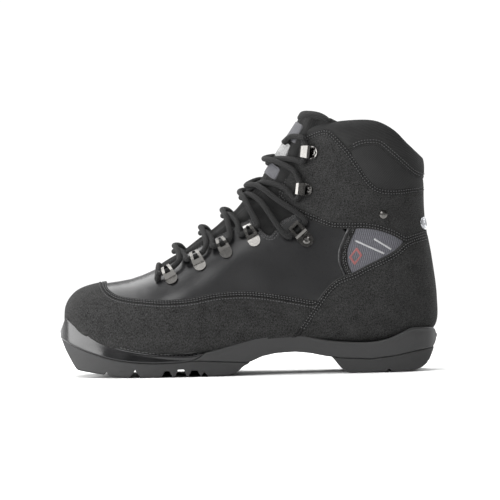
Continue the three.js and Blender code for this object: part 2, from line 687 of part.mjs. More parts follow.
function addSole() {
  const cup = last(SOLE_CUP);
  const bumper = soleBody
    .intersect(sideCut([...FEATHER.slice(0, 7), [-45, 18.7], ...BUMPER_LOW.slice().reverse()]))
    .subtract(cup);
  add("toe_bumper", bumper.intersect(toeZone), MATERIAL.gloss);
  add("ball_bumper", bumper.intersect(lowerZone), MATERIAL.gloss);

  const rails = [-12, 12].map((y) => box(-120, 160, y - 4, y + 4, -5, 4.5));
  const railTop = rails[0].add(rails[1]);
  const tread = soleBody
    .intersect(
      sideCut([
        ...lower(BUMPER_LOW, GAP),
        [0.4, 10.1],
        [-5.4, 6.9],
        [-9.5, 2.9],
        [-24, 0],
        [-94, 0],
        [-118.1, 2.3],
        [-133.6, 5.1],
        [-141, 8.1],
        [-154.6, 36.6],
      ]),
    )
    .subtract(railTop)
    .subtract(treadGroove(-116, 5, 2.6))
    .subtract(treadGroove(-92.3, 6.2, 4))
    .subtract(treadGroove(-71, 5.4, 5, 2.2))
    .subtract(treadGroove(-55.5, 5.6, 5, 2.4))
    .subtract(treadGroove(-38.1, 4.6, 3.4));
  const bar = TOE_BAR;
  const pocket = box(-FAR, -129.5, bar.y - 22.3, bar.y + 22.3, -5, 20.8);
  add("outsole_toe", tread.intersect(toeZone).subtract(pocket), MATERIAL.rubber);
  add("outsole_forefoot", tread.intersect(lowerZone), MATERIAL.rubber);

  const bracketSide = [[-143.4, 14], [-140.8, 9.2], [-131, 9.2], [-130, 11], [-130, 20.4], [-143, 20.4]];
  const bracket = sideCut(bracketSide, bar.y - 22, bar.y + 22)
    .subtract(box(-FAR, -132, bar.y - 19, bar.y + 19, -5, 18))
    .subtract(crossRod(bar.x, bar.z, bar.radius + GAP, -REACH, REACH, 16))
    .intersect(soleBody);
  add("toe_bar_bracket", bracket, MATERIAL.plastic);
  const barFrom = bar.y - bar.length / 2 + 0.6;
  add("toe_bar", crossRod(bar.x, bar.z, bar.radius, barFrom, bar.y + bar.length / 2 - 0.6, 16), MATERIAL.steel);

  const shankBox = (grow) => box(-42 - grow, 108 + grow, -9 - grow, 9 + grow, 0, 60);
  add("shank", shell([SOLE_CUP + GAP, 3.6]).intersect(shankBox(0)).intersect(inSole), MATERIAL.steel);
  const midsole = soleBody
    .intersect(
      sideCut([
        [-43.6, 12.5],
        [0.2, 10.4],
        [10.3, 14.8],
        [21, 17],
        [37.3, 17.7],
        [49.5, 16.4],
        [61.7, 13.9],
        [67.5, 12.5],
        [98.4, 10.8],
        [118.8, 13.3],
        [135.2, 16.6],
        [160, 19.8],
        ...FEATHER.slice(7).reverse(),
        [-43.6, 18.7],
      ]),
    )
    .subtract(cup)
    .subtract(shell([SOLE_CUP - 0.2, 3.6 + GAP]).intersect(shankBox(GAP)));

  add("midsole", midsole, MATERIAL.rubber);
  const heelTread = soleBody
    .intersect(
      sideCut([
        [67.8, 12],
        [71.4, 7],
        [76.2, 2.4],
        [80, 0],
        [126, 0],
        [138, 2.6],
        [145.7, 9],
        [150, 17.8],
        [135.2, 16.2],
        [118.8, 12.9],
        [98.4, 10.4],
      ]),
    )
    .subtract(railTop)
    .subtract(treadGroove(112.9, 2.6, 2.4));
  add("heel_tread", heelTread, MATERIAL.rubber);
}

// ---------------------------------------------------------------- lace hardware
const ribbon = (points, width) => {
  const geometry = new THREE.ExtrudeGeometry(shapeOf(points), { depth: width, bevelEnabled: false });
  geometry.translate(0, 0, -width / 2);
  // (along, out, width) becomes local (width, along, out)
  const turn = new THREE.Matrix4().makeBasis(
    new THREE.Vector3(0, 1, 0),
    new THREE.Vector3(0, 0, 1),
    new THREE.Vector3(1, 0, 0),
  );
  geometry.applyMatrix4(turn);
  return toSolid(geometry);
};
const faceCut = (outline) => {
  const geometry = new THREE.ExtrudeGeometry(outline, { depth: 30, bevelEnabled: false, curveSegments: 6 });
  geometry.translate(0, 0, -10);
  return toSolid(geometry);
};
const dome = (radius, height, base, x, y) => {
  const geometry = new THREE.LatheGeometry(
    [
      [0, base],
      [radius, base],
      [radius * 0.9, base + height * 0.5],
      [radius * 0.5, base + height * 0.92],
      [0, base + height],
    ].map(([r, h]) => new THREE.Vector2(r, h)),
    12,
  );
  geometry.rotateX(Math.PI / 2);
  geometry.translate(x, y, 0);
  return toSolid(geometry);
};

// A keyhole outline: round at the bottom, tapering to the top.
function plateOutline(radius, top, topHalf) {
  const outline = new THREE.Shape();
  outline.moveTo(-topHalf, top);
  outline.lineTo(-radius, 1);
  outline.absarc(0, -1, radius, Math.PI, 2 * Math.PI);
  outline.lineTo(radius, 1);
  outline.lineTo(topHalf, top);
  return outline;
}

// Local Y runs from the riveted plate towards the throat; the lace runs along local X.
function laceLoop() {
  const bridge = ribbon(
    [
      [-6, 0.3],
      [-6, 1.4],
      [1.2, 1.4],
      [3.8, 6.4],
      [6.5, 7.4],
      [10.3, 6.8],
      [13.2, 3.6],
      [14.2, 0.3],
      [13, 0.3],
      [12.2, 3],
      [9.8, 5.9],
      [6.6, 6.4],
      [4.7, 5.6],
      [2, 0.3],
    ],
    10.4,
  );
  const window = faceCut(shapeOf([[-2.4, 3.2], [2.4, 3.2], [0.9, 11.4], [-0.9, 11.4]]));
  return bridge.intersect(faceCut(plateOutline(5, 14.4, 3))).subtract(window);
}

function ankleLock() {
  const bridge = ribbon(
    [
      [-7, 0.3],
      [-7, 1.5],
      [3, 1.5],
      [4, 6.6],
      [6, 7.6],
      [13.5, 7.6],
      [15.6, 6.4],
      [16.6, 0.3],
      [15.2, 0.3],
      [14.4, 5.6],
      [12.8, 6.5],
      [6.4, 6.5],
      [5.1, 5.6],
      [4.2, 0.3],
    ],
    11.6,
  );
  const window = faceCut(shapeOf([[-2.8, 6.6], [2.8, 6.6], [2.8, 12.6], [-2.8, 12.6]]));
  return bridge
    .intersect(faceCut(plateOutline(5.7, 17, 4.8)))
    .subtract(window)
    .add(dome(3.4, 2.2, 1.2, 0, -1.2));
}

// Local Y points to the heel, so the hook's mouth opens away from the throat.
function speedHook() {
  const curl = ribbon(
    [
      [-6.4, 0.3],
      [-6.4, 4.6],
      [-5, 7],
      [-2.6, 7.9],
      [1.2, 7.6],
      [2.8, 6.2],
      [2, 5.6],
      [0.6, 6.6],
      [-2.2, 6.8],
      [-4.2, 6],
      [-5.2, 4.2],
      [-5.2, 1.4],
      [7.4, 1.4],
      [7.4, 0.3],
    ],
    10.4,
  );
  const outline = new THREE.Shape();
  outline.moveTo(-4.2, -6.6);
  outline.lineTo(4.2, -6.6);
  outline.lineTo(5.2, 1.6);
  outline.absarc(0, 1.8, 5.2, 0, Math.PI);
  outline.lineTo(-5.2, 1.6);
  return curl.intersect(faceCut(outline)).add(dome(2.2, 1, 1.2, 0, 4.4));
}

const UPWARDS = [-0.45, 0.89];
const LOOPS = [
  { x: -61.4, z: 78.6 },
  { x: -38.6, z: 89.4 },
  { x: -17.2, z: 99.4 },
  { x: 5.4, z: 108.8 },
];
const LOCK = { x: 47.4, z: 108.4, up: [-0.66, 0.75] };
const HOOKS = [
  { x: 47, z: 148.4 },
  { x: 52.4, z: 178.4 },
];
const SIDES = [
  { side: -1, name: "lateral" },
  { side: 1, name: "medial" },
];

function addHardware() {
  const loop = toGeometry(laceLoop());
  const lock = toGeometry(ankleLock());
  const hook = toGeometry(speedHook());
  const rivet = toGeometry(dome(3.7, 1.7, 0.3, 0, 0).add(toSolid(rivetShank())));
  for (const { side, name } of SIDES) {
    LOOPS.forEach(({ x, z }, i) => {
      add(`lace_loop_${i + 1}_${name}`, loop, MATERIAL.steel, surfaceFrame(x, z, side, UPWARDS, 0));
    });
    add(`ankle_lock_${name}`, lock, MATERIAL.steel, surfaceFrame(LOCK.x, LOCK.z, side, LOCK.up, 0.2));
    HOOKS.forEach(({ x, z }, i) => {
      const place = surfaceFrame(x, z, side, [1, -0.1], LAYER.overlay[1] + 0.2);
      add(`speed_hook_${i + 1}_${name}`, hook, MATERIAL.steel, place);
    });
    const place = surfaceFrame(ANKLE_AXIS.x, ANKLE_AXIS.z, side, [0, 1], LAYER.overlay[1]);
    add(`ankle_rivet_${name}`, rivet, MATERIAL.steel, place);
  }
  const disc = new THREE.CylinderGeometry(BADGE.radius, BADGE.radius, 60, 20);
  disc.rotateZ(Math.PI / 2);
  disc.translate(150, BADGE.y, BADGE.z);
  add("heel_badge", shell(LAYER.badge).intersect(toSolid(disc)), MATERIAL.silver);
}

function rivetShank() {
  const geometry = new THREE.CylinderGeometry(1.5, 1.5, 5.4, 10);
  geometry.rotateX(Math.PI / 2);
  geometry.translate(0, 0, -1.9);
  return geometry;
}

// ---------------------------------------------------------------- lace
// One lace, from its outer end down to the first row, across, and up to its inner end. Each half
// changes sides between rows, passing over the tongue.
const STRAND_DROP = 1.1; // stations from the end of a long strand up to its lock or hook
const CROSSING_DROP = [2, 1.4]; // stations from the ankle lock and the first hook down to the next crossing
const lerp = THREE.MathUtils.lerp;
function laceRoute() {
  const at = (frame, x, y, z) => new THREE.Vector3(x, y, z).applyMatrix4(frame);
  const rows = LOOPS.map(({ x, z }) => ({ x, z, up: UPWARDS, y: 7, n: 3.5, reach: 7.6 }));
  rows.push({ x: LOCK.x, z: LOCK.z, up: LOCK.up, y: 9.6, n: 3.8, reach: 9.4 });
  const stationOf = ({ x, z }) => sideToSurface(x, z, 1).u;

  // Through one loop from its toe side to its heel side.
  const through = (row, side) => {
    const frame = surfaceFrame(row.x, row.z, side, row.up, 0);
    const toToe = at(frame, 1, 0, 0).x < at(frame, -1, 0, 0).x ? 1 : -1;
    return [
      at(frame, toToe * row.reach, row.y + 1.2, row.n + 0.4),
      at(frame, 0, row.y, row.n),
      at(frame, -toToe * row.reach, row.y + 1.2, row.n + 0.4),
    ];
  };
  // Over the tongue from one side to the other; the upper strand passes over the lower one.
  const over = (fromU, crossingU, toU, side, isUpper, spread) => {
    const heights = isUpper ? [6.8, 9.8, 12.4, 9.8, 6.8] : [6.8, 8.2, 7.9, 8.2, 6.8];
    return heights.map((height, k) => {
      const u = k < 2 ? lerp(fromU, crossingU, k / 2) : lerp(crossingU, toU, k / 2 - 1);
      return lastPoint(u, Math.PI / 2 + (side * spread * (k - 2)) / 2, height);
    });
  };
  const hookRound = (hook, side) => {
    const frame = surfaceFrame(hook.x, hook.z, side, [1, -0.1], LAYER.overlay[1] + 0.2);
    const down = at(frame, 1, 0, 0).z < at(frame, -1, 0, 0).z ? 1 : -1;
    return [
      at(frame, down * 8.4, -5.4, 3.6),
      at(frame, down * 4, -2.4, 4.1),
      at(frame, -down * 4, -2.4, 4.1),
      at(frame, -down * 8.4, -5.4, 3.6),
    ];
  };
  const half = (start) => {
    let side = start;
    const points = [...through(rows[0], side)];
    for (let k = 1; k < rows.length; k++) {
      const isUpper = start * (-1) ** k > 0;
      const fromU = stationOf(rows[k - 1]);
      const drop = k < LOOPS.length ? 0.55 : STRAND_DROP;
      points.push(...over(fromU + 0.25, fromU, stationOf(rows[k]) - drop, side, isUpper, 0.56));
      side = -side;
      points.push(...through(rows[k], side));
    }
    let u = stationOf(rows.at(-1)) + 0.4;
    HOOKS.forEach((hook, k) => {
      const hookU = stationOf(hook);
      const isUpper = start * (-1) ** (k + rows.length) > 0;
      points.push(...over(u, u - CROSSING_DROP[k], hookU - STRAND_DROP, side, isUpper, 0.72));
      side = -side;
      points.push(...hookRound(hook, side));
      u = hookU + 0.6;
    });
    points.push(lastPoint(u, Math.PI / 2 - side * 0.7, 6.4));
    points.push(lastPoint(u - 0.3, Math.PI / 2 - side * 0.45, 7));
    points.push(lastPoint(u - 1.1, Math.PI / 2 - side * 0.3, 7));
    return points;
  };
  const frontU = stationOf(rows[0]) - 0.6;
  const front = [0.66, 0.34, 0, -0.34, -0.66].map((a) => lastPoint(frontU, Math.PI / 2 + a, 3.4));
  return [...half(-1).reverse(), ...front, ...half(1)];
}

// A smooth curve whose evenly spaced points are the route's own points.
class LaceCurve extends THREE.CatmullRomCurve3 {
  getPointAt(t, target) {
    return this.getPoint(t, target);
  }

  getTangentAt(t, target) {
    return this.getTangent(t, target);
  }
}

function addLace() {
  const route = laceRoute();
  const curve = new LaceCurve(route, false, "centripetal");
  const section = new THREE.Shape();
  for (let k = 0; k < LACE_SIDES; k++) {
    const angle = (2 * Math.PI * k) / LACE_SIDES;
    const x = (LACE_DIAMETER / 2) * Math.cos(angle);
    const y = (LACE_DIAMETER / 2) * Math.sin(angle);
    if (k) section.lineTo(x, y);
    else section.moveTo(x, y);
  }
  const steps = route.length - 1;
  const tube = new THREE.ExtrudeGeometry(section, { steps, extrudePath: curve, bevelEnabled: false });
  add("lace", tube, MATERIAL.lace);
}

addSole();
addInside();
addUppers();
addTongue();
addHardware();
addLace();

boot.position.y = -SIDE_SHIFT;

export default boot;
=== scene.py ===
import math

import bmesh
import bpy
import numpy as np
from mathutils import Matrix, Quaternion, Vector
from mathutils.kdtree import KDTree


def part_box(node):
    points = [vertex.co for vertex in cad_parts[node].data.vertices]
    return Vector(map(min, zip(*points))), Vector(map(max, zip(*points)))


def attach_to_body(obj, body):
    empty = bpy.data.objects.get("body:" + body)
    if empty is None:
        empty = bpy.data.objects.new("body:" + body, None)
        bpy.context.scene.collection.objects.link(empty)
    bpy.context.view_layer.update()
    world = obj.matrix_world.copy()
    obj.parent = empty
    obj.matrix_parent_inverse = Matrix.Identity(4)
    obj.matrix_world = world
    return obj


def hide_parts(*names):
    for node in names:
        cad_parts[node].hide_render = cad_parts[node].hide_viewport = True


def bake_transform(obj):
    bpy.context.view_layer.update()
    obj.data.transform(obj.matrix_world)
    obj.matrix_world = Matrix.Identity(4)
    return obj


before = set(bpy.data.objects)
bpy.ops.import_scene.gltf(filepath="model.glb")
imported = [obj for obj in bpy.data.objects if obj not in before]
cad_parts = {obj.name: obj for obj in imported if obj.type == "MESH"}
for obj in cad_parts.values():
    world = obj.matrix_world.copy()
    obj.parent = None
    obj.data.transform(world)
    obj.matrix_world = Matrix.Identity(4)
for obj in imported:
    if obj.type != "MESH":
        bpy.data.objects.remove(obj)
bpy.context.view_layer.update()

rng = np.random.default_rng(11)
MM = 0.001  # metres
PI = math.pi
FAR = 260.0  # mm, past the boot's ends


def flow(a, b, c, d, t):
    """The point at share t from b to c of a smooth curve through a, b, c and d."""
    return 0.5 * (
        2 * b + (c - a) * t + (2 * a - 5 * b + 4 * c - d) * t**2 + (3 * b - a - 3 * c + d) * t**3
    )


def distances(line):
    """How far along the line each of its points is."""
    return np.concatenate([[0], np.cumsum(np.linalg.norm(np.diff(line, axis=0), axis=1))])


def spaced(line, step):
    """The line's points again, evenly spaced."""
    steps = distances(line)
    at = np.arange(0, steps[-1], step)
    return np.stack([np.interp(at, steps, column) for column in line.T], 1)


def tree_of(points):
    tree = KDTree(len(points))
    for i, p in enumerate(points):
        tree.insert(p, i)
    tree.balance()
    return tree


def tube_faces(rings, sides):
    """Faces between rings of points that follow one another."""
    i = np.arange(sides)
    j = (i + 1) % sides
    return np.concatenate([
        np.stack([k * sides + i, k * sides + j, (k + 1) * sides + j, (k + 1) * sides + i], 1)
        for k in range(rings - 1)
    ])


def capped_faces(rings, sides):
    """Faces of a closed tube. The centres of its two ends come after the rings' points."""
    i = np.arange(sides)
    j = (i + 1) % sides
    end = (rings - 1) * sides
    first = np.stack([j, i, np.full(sides, rings * sides)], 1)
    last = np.stack([end + i, end + j, np.full(sides, rings * sides + 1)], 1)
    return [tube_faces(rings, sides), first, last]


# ------------------------------------------------------------------ the last
# Columns: bottom x z, top x z, half width, centre line y, widest share, low power, high power.
STATIONS = np.array([
    [-149, 45, -149, 46, 0.5, 6, 0.5, 2, 2],
    [-148.4, 37, -148.4, 55, 13, 6, 0.42, 2.4, 2],
    [-144.5, 30.5, -144.5, 63, 22, 6, 0.38, 3, 2.1],
    [-138, 26, -137.4, 69.4, 30, 5.6, 0.35, 3.8, 2.2],
    [-128.4, 22.2, -125.7, 73.6, 37, 5, 0.32, 4.4, 2.3],
    [-115.4, 19, -111, 75.6, 42.5, 4.4, 0.3, 5, 2.3],
    [-99, 16.6, -93, 78.6, 46.2, 3.4, 0.28, 5, 2.3],
    [-81, 15.4, -75.6, 85, 48.5, 2, 0.26, 5, 2.2],
    [-61, 15.2, -55, 96.8, 48.5, 0.6, 0.24, 5, 2.2],
    [-36, 16.4, -34.3, 110.8, 46, -0.4, 0.22, 5, 2.1],
    [-7.6, 20, -17, 123.5, 42, -1, 0.22, 5, 2.1],
    [25, 24.2, -3.6, 135.5, 38.5, -0.8, 0.25, 5, 2.1],
    [62, 24.2, 6.5, 147.5, 36.5, -0.4, 0.32, 5, 2.1],
    [98.6, 21.4, 14, 156.3, 36, 0, 0.4, 4.2, 2.1],
    [131, 23, 19, 163.5, 35.5, 0, 0.46, 3.2, 2.1],
    [150.5, 36.5, 23.3, 170, 36, 0, 0.5, 2.6, 2.1],
    [152.7, 60, 27.5, 176.5, 36.5, 0, 0.5, 2.3, 2.1],
    [149, 92.8, 31.7, 183, 37, 0, 0.5, 2.1, 2.1],
    [144.3, 121.4, 36.7, 190.3, 38, 0, 0.5, 2.1, 2.1],
    [143.6, 150, 42.6, 199, 39.5, 0, 0.5, 2.1, 2.1],
    [144.4, 178.6, 50.2, 211, 41, 0, 0.5, 2.1, 2.2],
    [146, 211, 58.7, 227.5, 42.5, 0, 0.5, 2.1, 2.2],
])
LAST = len(STATIONS) - 1
SIDE_SHIFT = 1.4  # mm towards the outer side, which centres the boot
TOE_STATIONS = 5  # the last's toe, which also grows forwards
TOE_HALF_WIDTH = 37
HALVINGS = 34


def station(u):
    u = np.clip(np.asarray(u, float), 0, LAST)
    i = np.minimum(u.astype(int), LAST - 1)
    around = [STATIONS[np.clip(i + k, 0, LAST)] for k in (-1, 0, 1, 2)]
    return np.moveaxis(flow(*around, (u - i)[..., None]), -1, 0)


def section(u):
    """A station's foot, direction and length, and then the numbers of its outline."""
    bx, bz, tx, tz, *shape = station(u)
    length = np.hypot(tx - bx, tz - bz)
    return bx, bz, (tx - bx) / length, (tz - bz) / length, length, *shape


def surface(u, a, d=0.0):
    """Points (mm) on the last grown outwards by d.

    The angle a is -pi/2 at the sole, 0 on the inner side, pi/2 on top and pi on the outer side.
    """
    bx, bz, ex, ez, length, half, mid, widest, low_power, high_power = section(u)
    cx, cz = bx + ex * widest * length, bz + ez * widest * length
    low = np.maximum(widest * length + d, 0.05)
    high = np.maximum((1 - widest) * length + d, 0.05)
    half = np.maximum(half + d, 0.05)
    at_toe = np.asarray(u) < TOE_STATIONS
    forward = d * np.sqrt(np.maximum(0, 1 - (half / TOE_HALF_WIDTH) ** 2)) * at_toe
    c, k = np.cos(a), np.sin(a)
    power = np.where(k < 0, low_power, high_power)
    r = (np.abs(c) ** power + np.abs(k) ** power) ** (-1 / power)
    along = r * k * np.where(k < 0, low, high)
    return np.stack([cx + ex * along - forward, mid + half * r * c - SIDE_SHIFT, cz + ez * along], -1)


def normal(u, a, d=0.0):
    du = surface(u + 0.03, a, d) - surface(u - 0.03, a, d)
    da = surface(u, a + 0.02, d) - surface(u, a - 0.02, d)
    n = np.cross(da, du)
    n /= np.maximum(np.linalg.norm(n, axis=-1, keepdims=True), 1e-9)
    grown = surface(u, a, d + 1.0) - surface(u, a, d)
    return n * np.where((n * grown).sum(-1, keepdims=True) < 0, -1, 1)


def locate(x, z, side, d=0.0):
    """(u, a) of the side-view point (x, z) on the outer side (-1) or the inner side (1)."""
    x, z = np.asarray(x, float), np.asarray(z, float)
    low, high = np.full(x.shape, 0.3), np.full(x.shape, float(LAST))
    for _ in range(HALVINGS):
        u = (low + high) / 2
        bx, bz, tx, tz = station(u)[:4]
        above = (tx - bx) * (z - bz) - (tz - bz) * (x - bx) > 0
        low, high = np.where(above, low, u), np.where(above, u, high)
    bx, bz, ex, ez, length, _, _, widest, low_power, high_power = section(u)
    along = (x - bx) * ex + (z - bz) * ez - widest * length
    power = np.where(along < 0, low_power, high_power)
    reach = np.where(along < 0, widest * length + d, (1 - widest) * length + d)
    share = np.clip(np.abs(along) / reach, 0, 1)
    angle = np.arctan2(np.sign(along) * share, (1 - share**power) ** (1 / power))
    return u, np.where(np.asarray(side) > 0, angle, PI - angle)


def side_y(x, z, side, d=0.0):
    u, a = locate(x, z, side, d)
    return surface(u, a, d)[..., 1]


# ------------------------------------------------------------------ patches of the last's surface
class Patch:
    """A triangle mesh in (u, a), with a named number at each of its points."""

    def __init__(self, u0, u1, a0=-90.0, a1=270.0, per_station=11, step=1.7):
        rows = np.linspace(u0, u1, max(2, int((u1 - u0) * per_station) + 1))
        columns = np.radians(np.linspace(a0, a1, int((a1 - a0) / step) + 1))
        u, a = np.meshgrid(rows, columns, indexing="ij")
        self.f = {"u": u.ravel(), "a": a.ravel()}
        n, m = u.shape
        corner = (np.arange(n - 1)[:, None] * m + np.arange(m - 1)).ravel()
        self.tris = np.concatenate([
            np.stack([corner, corner + 1, corner + m + 1], 1),
            np.stack([corner, corner + m + 1, corner + m], 1),
        ])

    def points(self, d=0.0):
        return surface(self.f["u"], self.f["a"], d)

    def _crossings(self, f):
        inside = f > 0
        edges = np.sort(np.stack([self.tris, np.roll(self.tris, -1, 1)], -1).reshape(-1, 2), 1)
        mixed = inside[edges[:, 0]] != inside[edges[:, 1]]
        keys = edges[:, 0] * len(f) + edges[:, 1]
        unique, inverse = np.unique(keys[mixed], return_inverse=True)
        number = np.full(len(edges), -1)
        number[mixed] = inverse
        first, second = unique // len(f), unique % len(f)
        share = f[first] / (f[first] - f[second])
        return inside, number.reshape(-1, 3), first, second, share

    def cut(self, f, both=False):
        """Cuts the patch where f is 0 and keeps the part above, or both parts."""
        inside, number, first, second, share = self._crossings(f)
        n = len(f)
        for name, value in self.f.items():
            self.f[name] = np.concatenate([value, value[first] * (1 - share) + value[second] * share])
        count = inside[self.tris].sum(1)
        kept = [self.tris[count == 3]]
        if both:
            kept.append(self.tris[count == 0])
        for lone, wanted in ((1, True), (2, False)):
            mask = count == lone
            tris, edge = self.tris[mask], number[mask]
            turn = np.argmax(inside[tris] == wanted, 1)
            index = (turn[:, None] + np.arange(3)) % 3
            t = np.take_along_axis(tris, index, 1)
            e = np.take_along_axis(edge, index, 1) + n
            tip = np.stack([t[:, 0], e[:, 0], e[:, 2]], 1)
            if both or wanted:
                kept.append(tip)
            if both or not wanted:
                kept.append(np.stack([e[:, 0], t[:, 1], t[:, 2]], 1))
                kept.append(np.stack([e[:, 0], t[:, 2], e[:, 2]], 1))
        tris = np.concatenate(kept)
        used, inverse = np.unique(tris, return_inverse=True)
        self.tris = inverse.reshape(-1, 3)
        self.f = {name: value[used] for name, value in self.f.items()}
        return self

    def boundary(self):
        edges = np.stack([self.tris, np.roll(self.tris, -1, 1)], -1).reshape(-1, 2)
        keys = np.sort(edges, 1) @ np.array([len(self.f["u"]), 1])
        _, index, counts = np.unique(keys, return_index=True, return_counts=True)
        return edges[index[counts == 1]]

    def near(self, line):
        """Distance of each point to a densely sampled line."""
        tree = tree_of(line)
        return np.array([tree.find(p)[2] for p in self.points()])

    def mark_edges(self, radius=None):
        """Field edge: distance to the patch's rim, with rows of points at the rounding radius."""
        p = self.points()
        ends = self.boundary()
        shares = (0, 0.25, 0.5, 0.75)
        rim = np.concatenate([p[ends[:, 0]] * (1 - s) + p[ends[:, 1]] * s for s in shares])
        self.f["edge"] = self.near(rim)
        on_rim = np.zeros(len(p), bool)
        on_rim[ends.ravel()] = True
        self.f["edge"][on_rim] = 0
        if radius:
            for share in (0.12, 0.4, 1.0):
                self.cut(self.f["edge"] - radius * share, both=True)
        return self

    def level_lines(self, name, level):
        """Lines where field name has that level, as arrays of (u, a)."""
        f = self.f[name] - level
        _, number, first, second, share = self._crossings(f)
        ua = np.stack([self.f["u"], self.f["a"]], 1)
        at = ua[first] * (1 - share)[:, None] + ua[second] * share[:, None]
        links = {}
        for row in number[(number >= 0).sum(1) == 2]:
            i, j = row[row >= 0]
            links.setdefault(i, []).append(j)
            links.setdefault(j, []).append(i)
        lines, seen = [], set()
        for start in sorted(links, key=lambda k: (len(links[k]), k)):
            if start in seen:
                continue
            walk = [start]
            seen.add(start)
            while True:
                following = [k for k in links[walk[-1]] if k not in seen]
                if not following:
                    break
                walk.append(following[0])
                seen.add(following[0])
            if len(walk) > 3:
                lines.append(at[walk])
        return lines


def smooth(points, parts=6):
    """A flowing line through the points."""
    p = np.array(points, float)
    q = np.concatenate([[2 * p[0] - p[1]], p, [2 * p[-1] - p[-2]]])
    t = (np.arange(parts) / parts)[:, None]
    return np.concatenate([*(flow(*q[i : i + 4], t) for i in range(len(p) - 1)), p[-1:]])


def area_field(x, z, polygon):
    """Signed distance in the side view to a closed outline, above 0 inside."""
    p = np.asarray(polygon, float)
    q = np.roll(p, -1, 0)
    best = np.full(x.shape, 1e18)
    inside = np.zeros(x.shape, bool)
    for (x0, z0), (x1, z1) in zip(p, q):
        dx, dz = x1 - x0, z1 - z0
        if dx == dz == 0:
            continue
        t = np.clip(((x - x0) * dx + (z - z0) * dz) / (dx * dx + dz * dz), 0, 1)
        best = np.minimum(best, (x - x0 - t * dx) ** 2 + (z - z0 - t * dz) ** 2)
        if z0 != z1:
            inside ^= ((z0 > z) != (z1 > z)) & (x < (x1 - x0) * (z - z0) / (z1 - z0) + x0)
    return np.sqrt(best) * np.where(inside, 1, -1)


def outline(patch, *lines):
    p = patch.points()
    polygon = np.concatenate([np.asarray(line, float) for line in lines])
    return area_field(p[:, 0], p[:, 2], polygon)


def above(patch, line):
    return outline(patch, line, [[FAR, 400], [-FAR, 400]])


def lifted(line, sides=(-1, 1)):
    """3-D points along a side-view line on the boot's sides."""
    x, z = spaced(smooth(line, 10), 0.5).T
    return np.concatenate([surface(*locate(x, z, side)) for side in sides])


# ------------------------------------------------------------------ objects
def make_object(name, points, faces, materials, fields=None):
    """A mesh object from points in mm. faces is a list of arrays of triangles or quads."""
    mesh = bpy.data.meshes.new(name)
    every = [tuple(int(i) for i in face) for block in faces for face in block]
    mesh.from_pydata((np.asarray(points) * MM).tolist(), [], every)
    for material in materials:
        mesh.materials.append(material)
    mesh.polygons.foreach_set("use_smooth", np.ones(len(every), bool))
    for key, value in (fields or {}).items():
        value = np.asarray(value, np.float32)
        kind = "FLOAT" if value.ndim == 1 else "FLOAT_VECTOR"
        attribute = mesh.attributes.new(key, kind, "POINT")
        attribute.data.foreach_set("value" if value.ndim == 1 else "vector", value.ravel())
    mesh.update()
    work = bmesh.new()
    work.from_mesh(mesh)
    bmesh.ops.remove_doubles(work, verts=work.verts, dist=0.00002)
    bmesh.ops.recalc_face_normals(work, faces=work.faces)
    if work.calc_volume(signed=True) < 0:
        bmesh.ops.reverse_faces(work, faces=work.faces)
    work.to_mesh(mesh)
    work.free()
    made = bpy.data.objects.new(name, mesh)
    bpy.context.scene.collection.objects.link(made)
    return made


GIRTH_ROWS = 106
GIRTH_TURNS = 181  # one every 2 degrees from the sole, so these two are at 90 and 210 degrees
TOP_TURN = 90
OUTER_TURN = 150


def girth(u, a):
    """Millimetres along the boot and around it from the top line, for laying cloth and leather."""
    rows = np.linspace(0, LAST, GIRTH_ROWS)
    turns = np.linspace(-PI / 2, 3 * PI / 2, GIRTH_TURNS)
    uu, aa = np.meshgrid(rows, turns, indexing="ij")
    p = surface(uu, aa)
    round_steps = np.cumsum(np.linalg.norm(np.diff(p, axis=1), axis=2), 1)
    around = np.concatenate([np.zeros((GIRTH_ROWS, 1)), round_steps], 1)
    around -= around[:, TOP_TURN : TOP_TURN + 1]
    last_row, last_turn = GIRTH_ROWS - 1, GIRTH_TURNS - 1
    i = np.clip(u / LAST * last_row, 0, last_row - 0.001)
    j = np.clip((a + PI / 2) / (2 * PI) * last_turn, 0, last_turn - 0.001)
    i0, j0 = i.astype(int), j.astype(int)
    fi, fj = i - i0, j - j0
    t = (around[i0, j0] * (1 - fi) + around[i0 + 1, j0] * fi) * (1 - fj)
    t += (around[i0, j0 + 1] * (1 - fi) + around[i0 + 1, j0 + 1] * fi) * fj
    return np.stack([np.interp(u, rows, distances(p[:, OUTER_TURN])), t, np.zeros_like(t)], 1)


def shell(name, patch, outer, inner, material, bumps=0.0):
    """A closed sheet between two offsets of the last."""
    n = len(patch.f["u"])
    u, a = patch.f["u"], patch.f["a"]
    outside = patch.points(outer)
    if np.any(bumps):
        outside = outside + normal(u, a) * bumps[:, None]
    points = np.concatenate([outside, patch.points(inner)])
    rim = patch.boundary()
    rim_faces = np.stack([rim[:, 1], rim[:, 0], rim[:, 0] + n, rim[:, 1] + n], 1)
    faces = [patch.tris, patch.tris[:, ::-1] + n, rim_faces]
    fields = {"lay": np.tile(girth(u, a), (2, 1))}
    for key in ("edge", "seam"):
        fields[key] = np.tile(patch.f.get(key, np.full(n, 50.0)), 2)
    patch.f["height"] = np.broadcast_to(outer, (n,)) + bumps
    return make_object(name, points, faces, [M[material]], fields=fields)


def rounded(patch, low, high, radius, least=0.25):
    """An outer offset that curves down to the rim."""
    share = 1 - np.clip(patch.f["edge"] / radius, 0, 1)
    return low + (high - low) * (least + (1 - least) * np.sqrt(1 - share**2))


def panel(name, patch, low, high, radius, material, bumps=0.0, least=0.25):
    """A sheet that starts at the offset low, its outer face rounded down to the rim."""
    return shell(name, patch, rounded(patch, low, high, radius, least), low, material, bumps)


# Place along a stitch and radius there, as shares of its length and its gauge.
STITCH_RINGS = [(-0.5, 0.0), (-0.46, 0.62), (-0.3, 1.0), (0.3, 1.0), (0.46, 0.62), (0.5, 0.0)]
STITCH_SIDES = 6
STITCH_SHARE = 0.62  # of the pitch; the rest is the gap to the next stitch
STITCH_LEAN = 0.04


